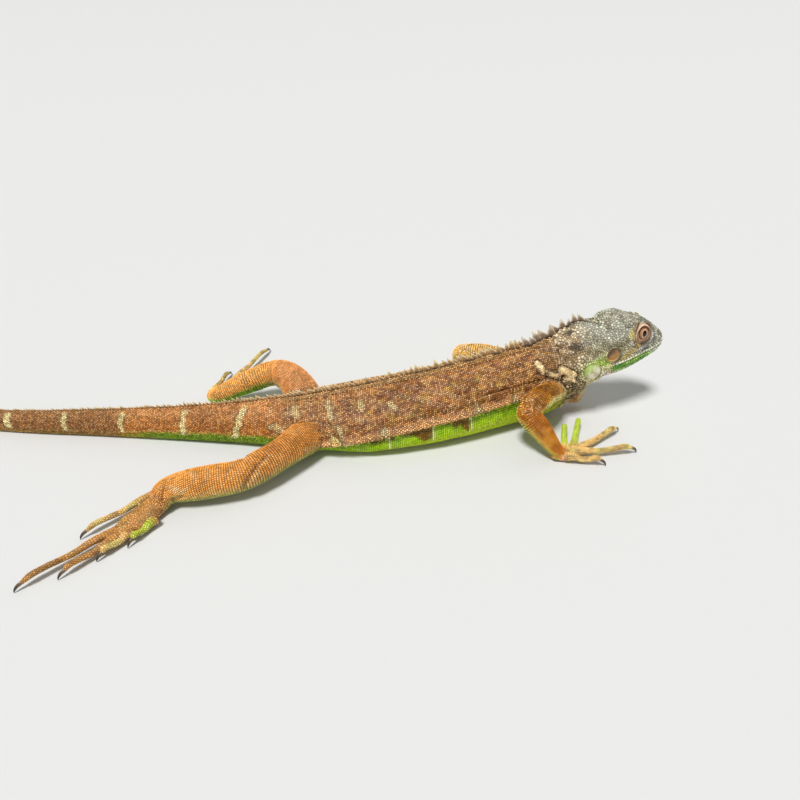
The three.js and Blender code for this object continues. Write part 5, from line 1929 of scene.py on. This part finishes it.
def shield_finish():
    """Lime above and behind, cream below, with painted shade as a dark line at the rim."""
    f = Finish("cheek_shield_plate", Roughness=0.5)
    cloud = f.speckle(0.3)
    lime = f.mix(cloud.step(0.35, 0.65), colour(124, 176, 58), colour(200, 214, 128))
    cream = f.mix(cloud.step(0.35, 0.65), colour(196, 188, 138), colour(250, 244, 224))
    tone = f.mix((f.kept("lift") + 0.8 * (cloud - 0.5)).step(0.35, 0.9), cream, lime)
    tone = f.scaled(tone, 0.6 + 0.8 * f.speckle(0.9))
    # Painted shade: a dark line round the rim, where the plate meets the skin.
    tone = f.mix(f.kept("reach").step(0.86, 1.0) * 0.75, tone, colour(96, 82, 50))
    return f.set(Base_Color=tone, Normal=f.bumped(f.speckle(0.5), 0.6, 0.4))


# %% Claws
def claw(name, spec, digit):
    """A hooked claw, round at its root and pointed at the floor."""
    x, y, turned, length = digit
    way, drop = heading(turned), spec["tip"]
    end = np.array([x, y, 0]) + length * way + UP * drop
    points = [end - way * 0.9 + UP * 0.15, end + way * 0.1]
    for share, fall in ((0.4, 0.22), (0.66, 0.6)):
        points.append(end + way * share * CLAW_LENGTH - UP * fall * drop)
    points.append(end * (1, 1, 0) + way * 0.76 * CLAW_LENGTH + UP * 0.12)
    hook = Tube(points, [(0.66, 0.8), (0.68, 0.86), (0.5, 0.74), (0.3, 0.42), (0.07, 0.09)])
    rows, columns = 15, 12
    grid = grid_over(hook.surface, 0, 1, rows, columns, 0)
    grid[..., 2] = np.maximum(grid[..., 2], OVER_FLOOR)
    made = mesh_object(f"{name}_horn", *closed_grid(grid))
    keep_value(made.data, np.append(np.repeat(np.linspace(0, 1, rows), columns), (0, 1)), "rise")
    return made


def claw_finish():
    f = Finish("claw_horn", Roughness=0.32, Coat_Weight=0.3, Coat_Roughness=0.2)
    tone = f.mix(f.kept("rise").step(0.15, 0.75), colour(124, 98, 68), colour(44, 32, 24))
    return f.set(Base_Color=f.scaled(tone, 0.7 + 0.6 * f.speckle(0.9)))


NODE_OF = {"arm": "hand", "leg": "foot"}
claws = {}
for limb, spec in PALMS.items():
    kind, side = limb.split("_")
    for i, digit in enumerate(spec["digits"]):
        node = f"claw_{NODE_OF[kind]}_{side}_{i + 1}"
        claws[node] = claw(node, spec, digit)
print(len(claws), "claws")

# %% [markdown]
# ## Putting it together
#
# Every piece gets its finish, rides on the body called root, and hides the CAD nodes that it stands for.

# %% Finishes and places
FLESH = [
    "head", "lower_jaw", "neck", "trunk", "tail_root", "tail_middle", "tail_end", "tail_whip", "dewlap",
]
for word in ("left", "right"):
    FLESH += [f"{p}_{word}" for p in ("upper_arm", "forearm", "hand", "thigh", "shin", "foot")]


def settle_piece(piece, finish, slot, replaced=(), smooth=True):
    piece.data.materials.clear()
    piece.data.materials.append(finish)
    if smooth:
        piece.data.polygons.foreach_set("use_smooth", np.ones(len(piece.data.polygons), bool))
    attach(piece, "root")
    if replaced:
        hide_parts(*replaced)


SCALES = {
    "head": (HEAD_SCALES, "head"), "belly": (BELLY_SCALES, "back"), "back": (BODY_SCALES, "back"),
    "flank": (BODY_SCALES, "back"), "arm": (LIMB_SCALES, "limb"), "leg": (LIMB_SCALES, "limb"),
}
settle_piece(skin, HIDE, "back", FLESH)
for piece in coat:
    settle_piece(piece, *SCALES[piece.name.split("_")[1]], smooth=False)
for piece in crests:
    settle_piece(piece, NAPE_SPINES if piece.name == "crest_nape" else BACK_SPINES, "back")
DRUM, SHIELD_PLATE, HORN = drum_finish(), shield_finish(), claw_finish()
for s, word in SIDES.items():
    settle_piece(eyes[s], EYE_FINISH, "eye", [f"eye_{word}"])
    settle_piece(drums[s], DRUM, "ear", [f"eardrum_{word}"])
    settle_piece(shields[s], SHIELD_PLATE, "shield", [f"cheek_shield_{word}"])
for node, piece in claws.items():
    settle_piece(piece, HORN, "claw", [node])

# %% [markdown]
# ## Floor, light and camera
#
# A pale floor, a broad lamp above and in front, a weak one behind, and an even world. The camera stands
# to the right of the animal and looks down on it.

# %% Floor and light
def plain_floor():
    turn = round_steps(64)
    reach = 40_000.0
    rim = np.stack([reach * np.cos(turn), reach * np.sin(turn), 0 * turn], -1)
    floor = mesh_object("floor", rim, [range(64)])
    f = Finish("pale_floor", Roughness=0.9)
    floor.data.materials.append(f.set(Base_Color=colour(222, 222, 220)))


def soft_lamp(name, place, strength, spread):
    """A broad, even light from one side of the sky."""
    lamp = bpy.data.lights.new(name, "SUN")
    lamp.energy, lamp.angle = strength, math.radians(spread)
    made = placed(name, lamp)
    made.location = place
    made.rotation_euler = (-Vector(place)).to_track_quat("-Z", "Y").to_euler()


plain_floor()
soft_lamp("key_lamp", (-0.25, -0.32, 1.0), 2.75, 14)
soft_lamp("rim_lamp", (0.5, 0.7, 0.8), 0.35, 60)
world = bpy.data.worlds.new("even_light")
bpy.context.scene.world = world
world.use_nodes = True
sky = world.node_tree.nodes["Background"].inputs
sky["Color"].default_value = (0.98, 0.99, 1.0, 1)
sky["Strength"].default_value = 0.27

# %% Camera
camera = bpy.data.cameras.new("camera")
camera.sensor_width, camera.lens = 36, 26.1
camera.clip_start, camera.clip_end = 0.01, 100
viewer = placed("camera", camera)
viewer.location = (0, -0.24875, 0.19207)
viewer.rotation_euler = (math.radians(55), 0, 0)
bpy.context.scene.camera = viewer
bpy.context.scene.view_settings.view_transform = "Standard"
